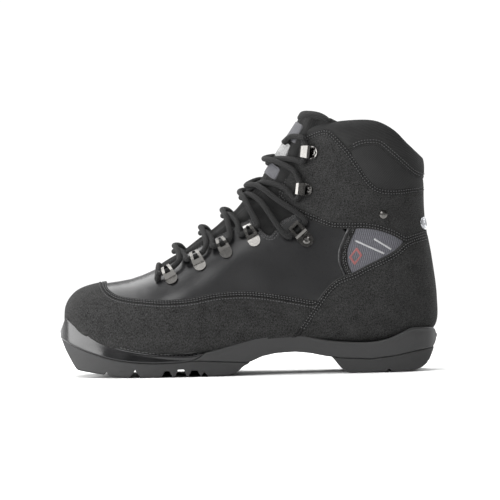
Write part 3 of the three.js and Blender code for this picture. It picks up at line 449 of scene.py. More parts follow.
def stitches(name, patch, levels, material="thread", pitch=2.3, gauge=0.38, keep=None, field="seam"):
    """Threads along the lines where a field of the patch has the given levels."""
    centres, along, out = [], [], []
    for line in [line for level in levels for line in patch.level_lines(field, level)]:
        p = surface(line[:, 0], line[:, 1])
        steps = distances(p)
        if steps[-1] < 3 * pitch:
            continue
        at = np.arange(pitch / 2, steps[-1], pitch)
        height = np.interp(at, steps, nearest_height(patch, p))

        def on_line(shift):
            return [np.interp(at + shift, steps, column) for column in line.T]

        here = surface(*on_line(0), height)
        t = surface(*on_line(0.4), height) - surface(*on_line(-0.4), height)
        good = np.linalg.norm(t, axis=1) > 1e-6
        if keep is not None:
            good &= keep(here)
        centres.append(here[good])
        along.append(t[good])
        out.append(normal(*on_line(0))[good])
    centre, t, n = (np.concatenate(x) for x in (centres, along, out))
    t /= np.linalg.norm(t, axis=1, keepdims=True)
    t += rng.normal(0, STITCH_LEAN, t.shape)
    t /= np.linalg.norm(t, axis=1, keepdims=True)
    b = np.cross(n, t)
    local = []
    for x, r in STITCH_RINGS:
        for k in range(STITCH_SIDES):
            angle = 2 * PI * k / STITCH_SIDES
            round_thread = r * gauge * math.cos(angle), r * gauge * math.sin(angle)
            local.append([x * pitch * STITCH_SHARE, *round_thread])
    local = np.array(local)
    points = (
        centre[:, None]
        + local[None, :, :1] * t[:, None]
        + local[None, :, 1:2] * b[:, None]
        + (local[None, :, 2:3] + gauge * 0.3) * n[:, None]
    )
    one = tube_faces(len(STITCH_RINGS), STITCH_SIDES)
    faces = (one[None] + (np.arange(len(centre)) * len(local))[:, None, None]).reshape(-1, 4)
    return make_object(name, points.reshape(-1, 3), [faces], [M[material]])


def nearest_height(patch, points):
    tree = tree_of(patch.points())
    return np.array([patch.f["height"][tree.find(p)[1]] for p in points])


# ------------------------------------------------------------------ materials
class Nodes:
    """A node tree built up node by node."""

    def __init__(self, tree):
        self.tree = tree

    def node(self, kind, inputs=None, **settings):
        made = self.tree.nodes.new("ShaderNode" + kind)
        for key, value in settings.items():
            setattr(made, key, value)
        for key, value in (inputs or {}).items():
            self.put(made.inputs[key], value)
        return made

    def put(self, socket, value):
        if isinstance(value, bpy.types.NodeSocket):
            self.tree.links.new(value, socket)
        else:
            socket.default_value = value

    def math(self, operation, *values):
        made = self.node("Math", operation=operation)
        for socket, value in zip(made.inputs, values):
            self.put(socket, value)
        return made.outputs[0]

    def ramp(self, value, low, high, to_low=0.0, to_high=1.0):
        return self.node("MapRange", {0: value, 1: low, 2: high, 3: to_low, 4: to_high}).outputs[0]


class Shader(Nodes):
    """A material."""

    def __init__(self, name):
        self.material = bpy.data.materials.new(name)
        self.material.use_nodes = True
        super().__init__(self.material.node_tree)
        self.main = self.tree.nodes["Principled BSDF"]

    def set(self, **values):
        for key, value in values.items():
            self.put(self.main.inputs[key.replace("_", " ")], value)

    def lay(self, scale=(1, 1, 1), turn=0.0):
        """The piece's own millimetres, stretched."""
        source = self.node("Attribute", attribute_name="lay").outputs["Vector"]
        return self.node("Mapping", {"Vector": source, "Scale": scale, "Rotation": (0, 0, turn)}).outputs[0]

    def space(self, scale=(1, 1, 1)):
        source = self.node("TexCoord").outputs["Object"]
        return self.node("Mapping", {"Vector": source, "Scale": scale}).outputs[0]

    def noise(self, vector, scale, detail=3.0, rough=0.55):
        inputs = {"Vector": vector, "Scale": scale, "Detail": detail, "Roughness": rough}
        return self.node("TexNoise", inputs).outputs["Fac"]

    def cells(self, vector, scale, feature="F1"):
        made = self.node("TexVoronoi", {"Vector": vector, "Scale": scale}, feature=feature)
        return made.outputs["Distance"]

    def mix(self, share, first, second):
        made = self.node("Mix", data_type="RGBA")
        self.put(made.inputs["Factor"], share)
        self.put(made.inputs[6], first)
        self.put(made.inputs[7], second)
        return made.outputs[2]

    def bump(self, height, distance, strength=1.0, base=None):
        inputs = {"Height": height, "Distance": distance, "Strength": strength}
        if base is not None:
            inputs["Normal"] = base
        return self.node("Bump", inputs).outputs[0]

    def field(self, name):
        return self.node("Attribute", attribute_name=name).outputs["Fac"]

    def groove(self, name, level, width=0.5):
        """1 along the line where the field has that level, falling to 0 beside it."""
        away = self.math("ABSOLUTE", self.math("SUBTRACT", self.field(name), level))
        return self.ramp(away, width, 0.0)

    def sewn(self, bump, rows, width, depth):
        """The bump with a dip along each seam row."""
        for level in rows:
            dip = self.math("MULTIPLY", self.groove("seam", level, width), -1.0)
            bump = self.bump(dip, depth, 1.0, bump)
        return bump


def grey(value, tint=1.0):
    return (value, value, value * tint, 1.0)


def nubuck(name, rows=(1.8, 4.0), dark=0.0006, light=0.048):
    s = Shader(name)
    streak = s.noise(s.lay((1.0, 0.34, 1)), 1.7, 4, 0.7)
    nap = s.noise(s.space(), 1300, 3, 0.65)
    cloud = s.noise(s.space(), 90, 3, 0.6)
    share = s.math("ADD", s.math("MULTIPLY", streak, 0.48), s.math("MULTIPLY", nap, 0.42))
    share = s.math("ADD", share, s.math("MULTIPLY", cloud, 0.1))
    share = s.ramp(share, 0.39, 0.64)
    rub = s.math("MULTIPLY", s.ramp(s.field("edge"), 0.9, 0.0), 0.35)
    color = s.mix(share, grey(dark, 1.0), grey(light, 0.99))
    color = s.mix(rub, color, grey(0.03))
    # Painted shade: the colour darkens to near black along each seam row, in place of the shade that falls
    # into the stitch grooves.
    seam = 0.0
    for level in rows:
        seam = s.math("MAXIMUM", seam, s.groove("seam", level, 1.3))
    color = s.mix(s.math("MULTIPLY", seam, 0.75), color, grey(0.0012))
    bump = s.bump(streak, 0.0003, 0.7)
    bump = s.bump(nap, 0.0003, 0.8, bump)
    bump = s.sewn(bump, rows, 0.75, 0.00032)
    s.set(Base_Color=color, Roughness=0.9, Normal=bump)
    s.set(Sheen_Weight=0.03, Sheen_Roughness=0.5, Specular_IOR_Level=0.1)
    return s.material


def smooth_leather(name, rows=(1.6, 3.8), color=0.0045, rough=0.32):
    s = Shader(name)
    pebble = s.cells(s.lay((1, 1, 1)), 1.05, "SMOOTH_F1")
    fine = s.noise(s.space(), 1900, 3, 0.6)
    wide = s.noise(s.space(), 38, 3, 0.55)
    base = s.mix(s.ramp(fine, 0.35, 0.7), grey(color * 0.8, 1.12), grey(color * 1.35, 1.14))
    worn = s.math("MULTIPLY", s.ramp(s.field("edge"), 0.8, 0.0), 0.4)
    base = s.mix(worn, base, grey(color * 2.4))
    bump = s.bump(pebble, 0.00007, 0.55)
    bump = s.bump(fine, 0.00003, 0.6, bump)
    bump = s.bump(wide, 0.0008, 0.35, bump)
    bump = s.sewn(bump, rows, 0.7, 0.0003)
    roughness = s.ramp(fine, 0.3, 0.75, rough - 0.05, rough + 0.1)
    s.set(Base_Color=base, Roughness=roughness, Normal=bump, Specular_IOR_Level=0.42)
    return s.material


def cloth(name, dark, light, pitch, turn, depth=0.00022, sheen=0.03, seam_rows=(1.6, 3.6)):
    """Woven cloth: diagonal ribs crossed by threads."""
    s = Shader(name)
    at = s.lay((1, 1, 1), turn)
    parts = s.node("SeparateXYZ", {0: at})
    rib = s.math("SINE", s.math("MULTIPLY", parts.outputs[0], 2 * PI / pitch))
    cross = s.math("SINE", s.math("MULTIPLY", parts.outputs[1], 2 * PI / (pitch * 0.62)))
    weave = s.math("ADD", s.math("MULTIPLY", rib, 0.6), s.math("MULTIPLY", cross, 0.4))
    fuzz = s.noise(s.space(), 2300, 3, 0.6)
    cloud = s.noise(s.space(), 70, 3, 0.5)
    share = s.math("ADD", s.ramp(weave, -1, 1, 0.0, 0.6), s.math("MULTIPLY", fuzz, 0.3))
    share = s.math("ADD", share, s.math("MULTIPLY", cloud, 0.25))
    color = s.mix(s.ramp(share, 0.2, 0.95), grey(dark), grey(light))
    bump = s.bump(weave, depth, 0.6)
    bump = s.bump(fuzz, 0.00012, 0.5, bump)
    bump = s.sewn(bump, seam_rows, 0.8, 0.0005)
    s.set(Base_Color=color, Roughness=0.92, Normal=bump)
    s.set(Sheen_Weight=sheen, Sheen_Roughness=0.5, Specular_IOR_Level=0.1)
    return s.material


def rubber(name, color, rough, grain=0.00004, tint=1.02):
    s = Shader(name)
    fine = s.noise(s.space(), 1500, 3, 0.6)
    wide = s.noise(s.space(), 60, 3, 0.6)
    tones = []
    for share in (0.88, 1.14):
        tones.append((share * color, share * color * min(tint, 1), share * color * tint, 1))
    base = s.mix(s.ramp(wide, 0.3, 0.7), *tones)
    bump = s.bump(fine, grain, 0.8)
    bump = s.bump(wide, 0.0004, 0.25, bump)
    roughness = s.ramp(wide, 0.3, 0.7, rough - 0.04, rough + 0.05)
    s.set(Base_Color=base, Roughness=roughness, Normal=bump)
    return s.material


def metal(name, color, rough):
    s = Shader(name)
    fine = s.noise(s.space((1, 1, 6)), 900, 3, 0.6)
    wide = s.noise(s.space(), 260, 3, 0.6)
    base = s.mix(s.ramp(wide, 0.3, 0.7), (*[c * 0.84 for c in color], 1), (*color, 1))
    s.set(Base_Color=base, Roughness=s.ramp(fine, 0.3, 0.8, rough - 0.04, rough + 0.08))
    s.set(Metallic=1.0, Normal=s.bump(wide, 0.00001, 0.25))
    return s.material


BRAID_RUN = 3.3  # radians for each mm along the cord
BRAID_TURNS = 6.0


def braid(name, dark, light):
    """A round braid: two sets of strands crossing round the cord."""
    s = Shader(name)
    parts = s.node("SeparateXYZ", {0: s.node("Attribute", attribute_name="lay").outputs["Vector"]})
    run = s.math("MULTIPLY", parts.outputs[0], BRAID_RUN)
    turn = s.math("MULTIPLY", parts.outputs[1], BRAID_TURNS)
    strands = [s.math("SINE", s.math(way, run, turn)) for way in ("ADD", "SUBTRACT")]
    weave = s.math("MAXIMUM", *strands)
    fuzz = s.noise(s.space(), 3000, 3, 0.6)
    color = s.mix(s.ramp(s.math("ADD", weave, fuzz), 0.2, 1.7), grey(dark), grey(light))
    bump = s.bump(weave, 0.00035, 0.8)
    bump = s.bump(fuzz, 0.0001, 0.5, bump)
    s.set(Base_Color=color, Roughness=0.82, Normal=bump, Sheen_Weight=0.03, Specular_IOR_Level=0.3)
    return s.material


def ribbed(name):
    """Grey cloth with fine upright ribs."""
    s = Shader(name)
    parts = s.node("SeparateXYZ", {0: s.space()})
    lean = s.math("ADD", parts.outputs[0], s.math("MULTIPLY", parts.outputs[2], 0.22))
    lean = s.math("ADD", lean, s.math("MULTIPLY", s.noise(s.space(), 120, 2, 0.5), 0.0012))
    rib_pitch = 0.0016
    rib = s.math("SINE", s.math("MULTIPLY", lean, 2 * PI / rib_pitch))
    fuzz = s.noise(s.space(), 2600, 3, 0.6)
    share = s.math("ADD", s.ramp(rib, -1, 1, 0, 0.7), s.math("MULTIPLY", fuzz, 0.4))
    color = s.mix(s.ramp(share, 0.1, 1.0), grey(0.045, 1.14), grey(0.1, 1.16))
    s.set(Base_Color=color, Roughness=0.8, Normal=s.bump(rib, 0.0002, 0.8))
    return s.material


M = {
    "nubuck": nubuck("NubuckBlack"),
    "leather": smooth_leather("SmoothLeather"),
    "band": nubuck("BandNubuck", (1.5,)),
    "collar": cloth("CollarTwill", 0.008, 0.034, 1.3, 0.6),
    "pad": cloth("HeelPadTwill", 0.009, 0.04, 1.3, -0.6),
    "tongue": cloth("TongueMesh", 0.004, 0.03, 1.7, 0.0, 0.0004),
    "lining": cloth("LiningKnit", 0.004, 0.016, 1.6, 0.8, 0.0003),
    "footbed": cloth("FootbedCloth", 0.01, 0.03, 1.4, 0.3, 0.0002),
    "patch": smooth_leather("GreyPatch", (1.4,), 0.05, 0.6),
    "label": cloth("PlainLabel", 0.12, 0.42, 0.8, 0.0, 0.0001, 0.0),
    "support": ribbed("SupportRib"),
    "rubber": rubber("SoleRubber", 0.015, 0.52, 0.00006),
    "tread": rubber("TreadRubber", 0.012, 0.62, 0.00009),
    "gloss": rubber("GlossBumper", 0.004, 0.22, 0.000012, 1.1),
    "nickel": metal("NickelPlate", (0.14, 0.136, 0.13), 0.22),
    "steel": metal("BarSteel", (0.42, 0.42, 0.42), 0.3),
    "plastic": rubber("MouldedPlastic", 0.02, 0.45),
    "board": cloth("PressedBoard", 0.05, 0.12, 0.9, 0.4, 0.0001, 0.0),
    "thread": rubber("SeamThread", 0.05, 0.7, 0.00006),
    "pale_thread": rubber("PaleThread", 0.06, 0.7, 0.00006),
    "cord": braid("LaceBraid", 0.0025, 0.013),
    "badge": metal("BadgeFoil", (0.42, 0.43, 0.45), 0.3),
    "mark": rubber("PrintedRed", 0.2, 0.5, tint=0.3),
    "pale_mark": rubber("PrintedGrey", 0.3, 0.5),
}

# ------------------------------------------------------------------ side-view lines of the upper
ANKLE_SEAM = [
    [25.1, 141.5], [31.5, 134], [40.4, 128.4], [57, 121.2], [69.5, 116.6], [84.2, 116.2], [94, 116.2],
    [104.6, 114.6], [117.2, 110.2], [126.9, 104.9], [134.7, 106.6], [144, 109.4], [156, 112.5],
]
FLAP_EDGE = [
    [-76, 86], [-69.8, 90], [-58, 94], [-47, 100.4], [-36, 106.6], [-29, 110.6], [-16, 116.5], [-8, 123],
    [2.6, 128.8],
]
FLEX_NOTCH = [
    [2.6, 128.8], [7.4, 122.4], [12.7, 115.9], [18.8, 112.2], [22.6, 116.8], [25.5, 121.4], [30.4, 125.6],
    [35.5, 127.7], [44, 133],
]
CUFF_FRONT = [[25.1, 141.5], [27.9, 150.8], [30.6, 159.4], [34.7, 170.2], [41.5, 183.1], [46, 189.2]]
PANEL_TOP = [
    [46, 189.2], [52.2, 193], [60.5, 196.4], [66.8, 197], [71.5, 194.6], [77.1, 188.4], [84.2, 179.8],
    [91.2, 169.3], [98.4, 157.9], [103.4, 152], [109.6, 148.9], [120, 148], [130.4, 149], [144, 150.5],
    [156, 151.5],
]
PAD_TOP = [
    [82, 172], [85.3, 178.8], [92.6, 182.8], [100, 183.9], [107.2, 183], [114.3, 177.2], [122.5, 169.7],
    [130.7, 162.2], [136.9, 157.9], [144.1, 155.7], [156, 153.5],
]
COLLAR_TOP = [
    [43, 197.6], [54.1, 200.9], [71.1, 203.5], [86, 204.3], [100.4, 203.8], [110.7, 201.1],
    [120.9, 194.7], [131.1, 184.1], [143.3, 172.6], [147, 169], [156, 161],
]
RAND_TOP = [
    [-115.9, 82], [-115.6, 75.6], [-112.7, 70.4], [-106.2, 66.1], [-96.5, 63.9], [-84.2, 62.8],
    [-67.9, 62.1], [-47.5, 63.3], [-27, 67], [-6.6, 68.2], [11.4, 67], [34.1, 63.3], [52, 59.8],
    [60, 58],
]
COUNTER_FRONT = [
    [26, 22], [33.5, 31.5], [37.7, 35.4], [46, 46.4], [56.1, 59.8], [62.8, 68.4], [71.1, 75.6],
    [79.4, 79.1], [85.1, 81], [95.8, 86.5], [112.3, 94.3], [120, 98.8], [126.9, 104.8], [134.7, 108.4],
    [144.5, 110.8], [156, 113.5],
]
SUPPORT_FRONT = [[82, 122], [81.3, 116.4], [77.5, 108.4], [73.9, 99.2], [73.7, 88.8], [77, 80], [80, 74]]
WELT = [
    [-FAR, 30], [-133.7, 27], [-113.6, 20], [-89.2, 17], [-56.6, 15], [-36, 15], [-7.6, 19], [25, 23],
    [62, 22], [98.6, 19.5], [131, 21], [FAR, 24],
]


def shifted(line, dx, dz):
    return [[x + dx, z + dz] for x, z in line]


def on_lower(obj, *nodes):
    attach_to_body(obj, "lower")
    stand_for(nodes)


def on_cuff(obj, *nodes):
    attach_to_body(obj, "cuff")
    stand_for(nodes)


def bends_at_toe(obj, *nodes):
    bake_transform(obj)
    stand_for(nodes)


def bends_at_cuff(obj, *nodes):
    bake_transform(obj)
    stand_for(nodes)


def stand_for(nodes):
    """Replaces the CAD nodes that the piece shows."""
    if nodes:
        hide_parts(*nodes)


# ------------------------------------------------------------------ vamp, rand, counter
def build_vamp():
    patch = Patch(0.9, 15.2)
    hidden_front = [[-118, 78], [-118, 60], [-100, 58], [-60, 58], [0, 60], [50, 54], [66, 60], [81.5, 72]]
    top = [*shifted(smooth(SUPPORT_FRONT)[::-1][1:-1], 1.2, 0), [83, 124], [60, 130]]
    throat = [*smooth(FLEX_NOTCH)[::-1], *smooth(FLAP_EDGE)[::-1], [-90, 140], [-118, 140]]
    patch.cut(outline(patch, hidden_front, top, throat))
    patch.mark_edges(0.9)
    patch.f["seam"] = patch.near(lifted(FLAP_EDGE + FLEX_NOTCH[1:-1]))
    x, _, z = patch.points().T
    crease = np.sin(x * 0.55 + z * 0.25) * np.exp(-(((x + 92) / 12) ** 2)) * 0.07
    soft = np.sin(x * 0.11 + 1) * np.sin(z * 0.13) * 0.35
    bumps = (crease + soft) * np.clip(patch.f["edge"] / 6, 0, 1)
    made = panel("vamp_leather", patch, -1.5, 0.15, 0.9, "leather", bumps)
    bends_at_toe(made, "vamp_toe", "vamp_and_quarters", "forefoot_flex_upper")
    bends_at_toe(stitches("vamp_stitching", patch, (1.6, 3.8), keep=lambda p: p[:, 0] > -71))


def build_rand():
    patch = Patch(0.05, 13.2)
    patch.cut(above(patch, WELT))
    tail = [[52, 52], [44, 42], [36, 30], [28, 18]]
    patch.cut(outline(patch, smooth(RAND_TOP), tail, [[28, 0], [-FAR, 0], [-FAR, 82]]))
    patch.mark_edges(1.1)
    patch.f["seam"] = patch.near(lifted(RAND_TOP[1:-1]))
    made = panel("rand_nubuck", patch, -1.2, 1.35, 1.1, "nubuck")
    bends_at_toe(made, "toe_cap", "side_rand_lateral", "side_rand_medial")
    bends_at_toe(stitches("rand_stitching", patch, (1.7, 3.4, 6.0), keep=lambda p: p[:, 2] > 34))
    build_feather_stitches(patch)


def build_feather_stitches(patch):
    """Short pale stitches where the toe rand meets the sole."""
    patch.f["feather"] = above(patch, FEATHER)

    def keep(p):
        return (p[:, 0] > -104) & (p[:, 0] < -40)

    bends_at_toe(stitches("feather_stitching", patch, (1.5,), "pale_thread", 3.0, 0.3, keep, "feather"))


def build_counter():
    patch = Patch(9.5, 19.5)
    patch.cut(above(patch, WELT))
    patch.cut(outline(patch, smooth(COUNTER_FRONT), [[156, 0], [26, 0]]))
    patch.mark_edges(1.2)
    patch.f["seam"] = patch.near(lifted(COUNTER_FRONT[2:-1]))
    made = panel("counter_nubuck", patch, -1.2, 1.6, 1.2, "nubuck")
    on_lower(made, "heel_counter")
    on_lower(stitches("counter_stitching", patch, (1.8, 4.0), keep=lambda p: p[:, 2] > 36))


# Each side's name and the angles (degrees) that a patch on it spans.
SIDES = (("lateral", (95, 262)), ("medial", (-82, 85)))


def build_supports():
    front = smooth(SUPPORT_FRONT)
    for name, angles in SIDES:
        patch = Patch(11.5, 18.2, *angles)
        corner = [[126, 98], [126, 112], [112, 118], [96, 122]]
        patch.cut(outline(patch, front, [[92, 76]], corner))
        patch.mark_edges(0.8)
        made = panel(f"support_panel_{name}", patch, -1.4, -0.1, 0.8, "support")
        on_lower(made, f"side_support_{name}")
        # A rolled strip of leather along its front edge.
        strip = Patch(11.5, 18.2, *angles, per_station=16, step=1.0)
        strip.cut(outline(strip, front + [-0.6, 0], front[::-1] + [2.6, 0]))
        strip.mark_edges(1.0)
        on_lower(panel(f"support_piping_{name}", strip, -1.0, 1.0, 1.3, "leather", least=0.1))
        # A sewn band behind the strip.
        band = Patch(11.5, 18.2, *angles, per_station=14, step=1.2)
        band.cut(outline(band, front + [2.4, 0], front[::-1] + [7.2, 0.6]))
        band.mark_edges(0.7)
        band.f["seam"] = band.f["edge"]
        on_lower(panel(f"support_band_{name}", band, -0.8, 0.7, 0.7, "band"))
        on_lower(stitches(f"support_band_stitching_{name}", band, (1.5,), pitch=2.0))
        build_mark(name, angles)


def build_mark(name, angles):
    """A plain red diamond and two plain bars printed on the side support panel in place of any mark."""
    centre = np.array([87.4, 94.0])
    ring = centre + [[-5.6, -0.8], [1.0, 7.4], [5.6, 0.8], [-1.0, -7.4]]
    hole = centre + (ring - centre) * 0.62
    prints = [("support_mark", "mark", ring)]
    bars = [[[87.8, 107.2], [111.0, 96.2]], [[102.8, 108.4], [116.6, 99.6]]]
    for k, bar in enumerate(bars, 1):
        prints.append((f"support_bar_{k}", "pale_mark", bar + shifted(bar[::-1], -0.7, -1.3)))
    for title, material, edge in prints:
        patch = Patch(12.5, 17.2, *angles, per_station=34, step=0.7)
        patch.cut(outline(patch, edge))
        if edge is ring:
            patch.cut(-outline(patch, hole))
        patch.mark_edges(0.25)
        on_lower(panel(f"{title}_{name}", patch, -0.3, 0.12, 0.25, material))


def build_ankle_panel():
    patch = Patch(11.6, 21)
    patch.cut(outline(patch, smooth(CUFF_FRONT), smooth(PANEL_TOP), smooth(ANKLE_SEAM)[::-1]))
    patch.mark_edges(1.1)
    seams = (ANKLE_SEAM[:-1], PANEL_TOP[:-1], CUFF_FRONT)
    patch.f["seam"] = np.min([patch.near(lifted(line)) for line in seams], 0)
    x, _, z = patch.points().T
    soft = np.sin(x * 0.1 + 0.7) * np.sin(z * 0.12 + 0.4) * 0.4
    creases = np.exp(-(((z - 132 + (x - 60) * 0.1) / 14) ** 2))
    soft += np.sin(x * 0.22 + z * 0.3) * 0.16 * creases
    bumps = soft * np.clip(patch.f["edge"] / 7, 0, 1)
    made = panel("ankle_panel_nubuck", patch, -1.3, 1.3, 1.1, "nubuck", bumps)
    bends_at_cuff(made, "ankle_panel", "ankle_flex_panel")
    bends_at_cuff(stitches("ankle_panel_stitching", patch, (1.8, 4.0)))


def build_collar():
    patch = Patch(15.5, 21)
    # Its lower edge is tucked under the ankle panel and meets the heel pad.
    tucked = smooth(shifted(PANEL_TOP[:7], -0.3, -0.9))[::-1]
    pad_edge = smooth(shifted(PAD_TOP[1:], 0, -0.6))[::-1]
    patch.cut(outline(patch, smooth(COLLAR_TOP), pad_edge, [[82.4, 176]], tucked, [[42.6, 190]]))
    patch.mark_edges(1.5)
    top = patch.near(lifted(COLLAR_TOP))
    patch.f["seam"] = patch.near(lifted(PAD_TOP[1:]))
    puff = 1 - np.exp(-patch.f["edge"] / 5)
    x, y, _ = patch.points().T
    to_heel = np.clip((x - 104) / 20, 0, 1)
    reach = 7 - 5 * to_heel
    roll = np.sqrt(np.clip(1 - (1 - np.clip(top / reach, 0, 1)) ** 2, 0, 1))
    thin_front = np.clip((x - 52) / 18, 0.25, 1)
    rim = -4.2 + 4.2 * to_heel
    outer = rim + (0.5 - rim + 2.1 * puff) * np.maximum(roll, 0.04)
    inner = rim - (8.8 + rim) * roll * np.clip(1 - (top - 11) / 6, 0.2, 1) * thin_front
    wave = np.sin(x * 0.21) * np.sin(y * 0.17 + 1) * 0.25
    made = shell("collar_padded", patch, outer, inner, "collar", wave * np.clip(top / 8, 0, 1))
    on_cuff(made, "collar")

    def keep(p):
        return (p[:, 2] > 152) & (p[:, 0] > 86)

    on_cuff(stitches("collar_stitching", patch, (1.8, 3.8), keep=keep))


def build_heel_pad():
    patch = Patch(15.5, 21)
    low_edge = [[156, 145], [104, 146], [98, 152], [86, 168]]
    patch.cut(outline(patch, smooth(shifted(PAD_TOP, 0, 0.6)), low_edge))
    patch.mark_edges(1.2)
    puff = 1 - np.exp(-patch.f["edge"] / 6)
    x, _, z = patch.points().T
    wave = np.sin(x * 0.2 + 2) * np.sin(z * 0.25) * 0.2
    outer = rounded(patch, -2.4, 0.4, 1.2) + 1.9 * puff
    made = shell("heel_pad_padded", patch, outer, -2.4, "pad", wave * puff)
    on_cuff(made, "heel_pad")


def build_linings():
    patch = Patch(1.2, 18.5, per_station=6, step=3)
    set_back = [*shifted(FLAP_EDGE, 0, -9), [20, 116], [46, 120]]
    low = [[-FAR, 0], [FAR, 0], [FAR, 118], [46, 120]]
    patch.cut(outline(patch, low, set_back[::-1], [[-90, 92], [-FAR, 90]]))
    patch.mark_edges()
    made = shell("lining_foot_cloth", patch, -4.4, -6.2, "lining")
    bends_at_toe(made, "lining_toe", "lining_foot")
    patch = Patch(11.5, 21, per_station=9, step=2.2)
    behind = [[40, 118], [44, 150], [50, 170], [60, 187], [70, 197]]
    edge = shifted(COLLAR_TOP, 0, -4.5)[2:]
    patch.cut(outline(patch, behind, smooth(edge), [[FAR, 104], [120, 104], [60, 108]]))
    patch.mark_edges(1.0)
    rise = np.clip((patch.points()[:, 2] - 125) / 20, 0, 1)
    puff = 1.6 * (1 - np.exp(-patch.f["edge"] / 6)) * rise
    made = shell("lining_cuff_padded", patch, -4.9, -6.6 - puff, "lining")
    bends_at_cuff(made, "lining_cuff")
    patch = Patch(1.6, 15.6, -158, -22, per_station=7, step=2.6)
    patch.mark_edges(1.0)
    made = shell("footbed_cloth", patch, -7.2, rounded(patch, -7.4, -10.8, 2.0), "footbed")
    bends_at_toe(made, "footbed", "footbed_toe")


# ------------------------------------------------------------------ tongue
def build_tongue():
    patch = Patch(7.2, 20.2, 0, 180, per_station=14, step=1.3)
    low = [
        *shifted(FLAP_EDGE, 0, -8), [8, 108], [18, 101], [30, 104], [40, 116], [45, 150], [54, 172],
        [66, 190], [74, 200],
    ]
    top = [[72, 204], [66, 207], [56, 208.6], [48, 208.6], [38, 204], [20, 204]]
    patch.cut(outline(patch, smooth(low), top, [[-FAR, 204], [-FAR, 78]]))
    x, y, _ = patch.points().T
    patch.cut(x + 74 + 0.05 * np.abs(y) ** 1.2)
    patch.mark_edges(1.3)
    width = np.interp(patch.f["u"], [7, 9, 11, 13, 16, 19, 20.2], [15, 21, 24, 24, 25, 27, 28])
    off = np.abs(patch.points()[:, 1] + SIDE_SHIFT)
    share = np.clip((width - off) / 5.0, 0, 1)
    pad = share * share * (3 - 2 * share)
    channel = np.exp(-(((off - width * 0.52) / 1.6) ** 2)) * 1.1
    quilting = 0.35 * np.sin(patch.f["u"] * 5.2)
    patch.f["seam"] = np.abs(off - width * 0.52)
    outer = rounded(patch, -6, -2.0, 1.3) + pad * (4.6 - channel + quilting)
    made = shell("tongue_padded", patch, outer, -6.0, "tongue")
    bends_at_cuff(made, "tongue_lower", "tongue_flex", "tongue_upper")


def build_tongue_roll():
    patch = Patch(17.5, 21, 18, 162, per_station=22, step=1.0)
    low = [[34, 200.5], [41.5, 202], [50, 204.2], [60, 205], [67, 203]]
    top = [[69, 203.4], [66, 207.2], [60.8, 210.6], [54.7, 212.2], [48.5, 212.2], [44.6, 209], [36, 207]]
    patch.cut(outline(patch, smooth(low), smooth(top)))
    patch.mark_edges(1.0)
    puff = np.sqrt(1 - (1 - np.clip(patch.f["edge"] / 4.2, 0, 1)) ** 2)
    made = shell("tongue_roll_padded", patch, -1.5 + 6.0 * puff, -1.6 - 4.6 * puff, "tongue")
    on_cuff(made, "tongue_top_roll")


def build_tongue_trim():
    """Three plain patches down the tongue, each between two side-view points."""
    corner = 1.6
    trim = [
        ("tongue_patch_leather", "tongue_patch", "patch", (34, 190.5, 43.8, 203.6), 19.0, 0.8, on_cuff),
        ("tongue_label_plain", "tongue_label", "label", (24.4, 175.6, 32.2, 187.6), 16.5, 0.6, on_cuff),
        (
            "tongue_keeper_leather", "tongue_lace_keeper", "patch", (14.3, 162.0, 20.8, 170.8), 17.0, 0.8,
            bends_at_cuff,
        ),
    ]
    for name, node, material, (x0, z0, x1, z1), half, radius, attach in trim:
        patch = Patch(11.5, 20.6, 30, 150, per_station=30, step=0.7)
        x, y, z = patch.points().T
        run = np.hypot(x1 - x0, z1 - z0)
        along = ((x - x0) * (x1 - x0) + (z - z0) * (z1 - z0)) / run
        across = np.abs(y + SIDE_SHIFT)
        q = np.stack([np.abs(along - run / 2) - run / 2 + corner, across - half + corner])
        patch.cut(corner - np.hypot(*np.maximum(q, 0)) - np.minimum(q.max(0), 0))
        patch.mark_edges(radius)
        patch.f["seam"] = patch.f["edge"]
        attach(panel(name, patch, 1.2, 3.5, radius, material), node)


# ------------------------------------------------------------------ sole
SOLE_PLAN = np.array([
    [-154, 6], [-151.5, -8], [-144, -20], [-130, -31.5], [-110, -40.5], [-85, -47], [-60, -49],
    [-35, -47.5], [0, -42], [35, -37], [70, -35.5], [105, -35.5], [130, -31], [145, -21.5],
    [151.5, -10], [153.4, 0], [151.5, 10], [145, 21.5], [130, 31], [105, 35.5], [70, 35.5], [35, 36],
    [0, 39.5], [-30, 45], [-60, 49.5], [-85, 51], [-110, 47.5], [-130, 40], [-144, 29.5],
    [-151.5, 18.5],
], float)


def plan_sides():
    p = SOLE_PLAN
    t = (np.arange(12) / 12)[:, None]
    around = [[p[(i + k) % len(p)] for k in (-1, 0, 1, 2)] for i in range(len(p))]
    ring = np.concatenate([flow(*four, t) for four in around])
    toe, heel = ring[:, 0].argmin(), ring[:, 0].argmax()
    ring = np.roll(ring, -toe, 0)
    heel = (heel - toe) % len(ring)
    return ring[: heel + 1], np.concatenate([ring[heel:], ring[:1]])[::-1]


OUTER_PLAN, INNER_PLAN = plan_sides()
FEATHER = smooth([
    [-156, 33], [-154, 36.4], [-151.5, 42], [-149.4, 47], [-147.6, 47.4], [-142, 42.6], [-133.7, 37.3],
    [-113.6, 26.5], [-89.2, 20.3], [-56.6, 16.8], [-40.3, 18], [-11.5, 25], [10.6, 31], [29.4, 32.8],
    [41.7, 31.3], [66, 26.3], [94.6, 24.3], [110.9, 26.4], [123.3, 31.3], [129.1, 34.2], [135.6, 35.5],
    [148, 34.8], [151.6, 32.4], [153, 29], [160, 26],
])
BUMPER_LOW = smooth([
    [-156, 32.6], [-153.4, 31.4], [-142.1, 25.3], [-125.9, 19.2], [-105.6, 13.9], [-81.2, 11.3],
    [-58, 11.4], [-48, 12.6], [-42, 14.6], [-36, 18.4],
])
TREAD_LOW = np.array([
    [-156, 38], [-153.7, 32.5], [-149, 21.4], [-143.4, 11.2], [-141, 7.4], [-139.4, 5.9], [-136, 5.1],
    [-118.1, 2.2], [-107, 0.6], [-96.9, 0.1], [-88, 0],
])
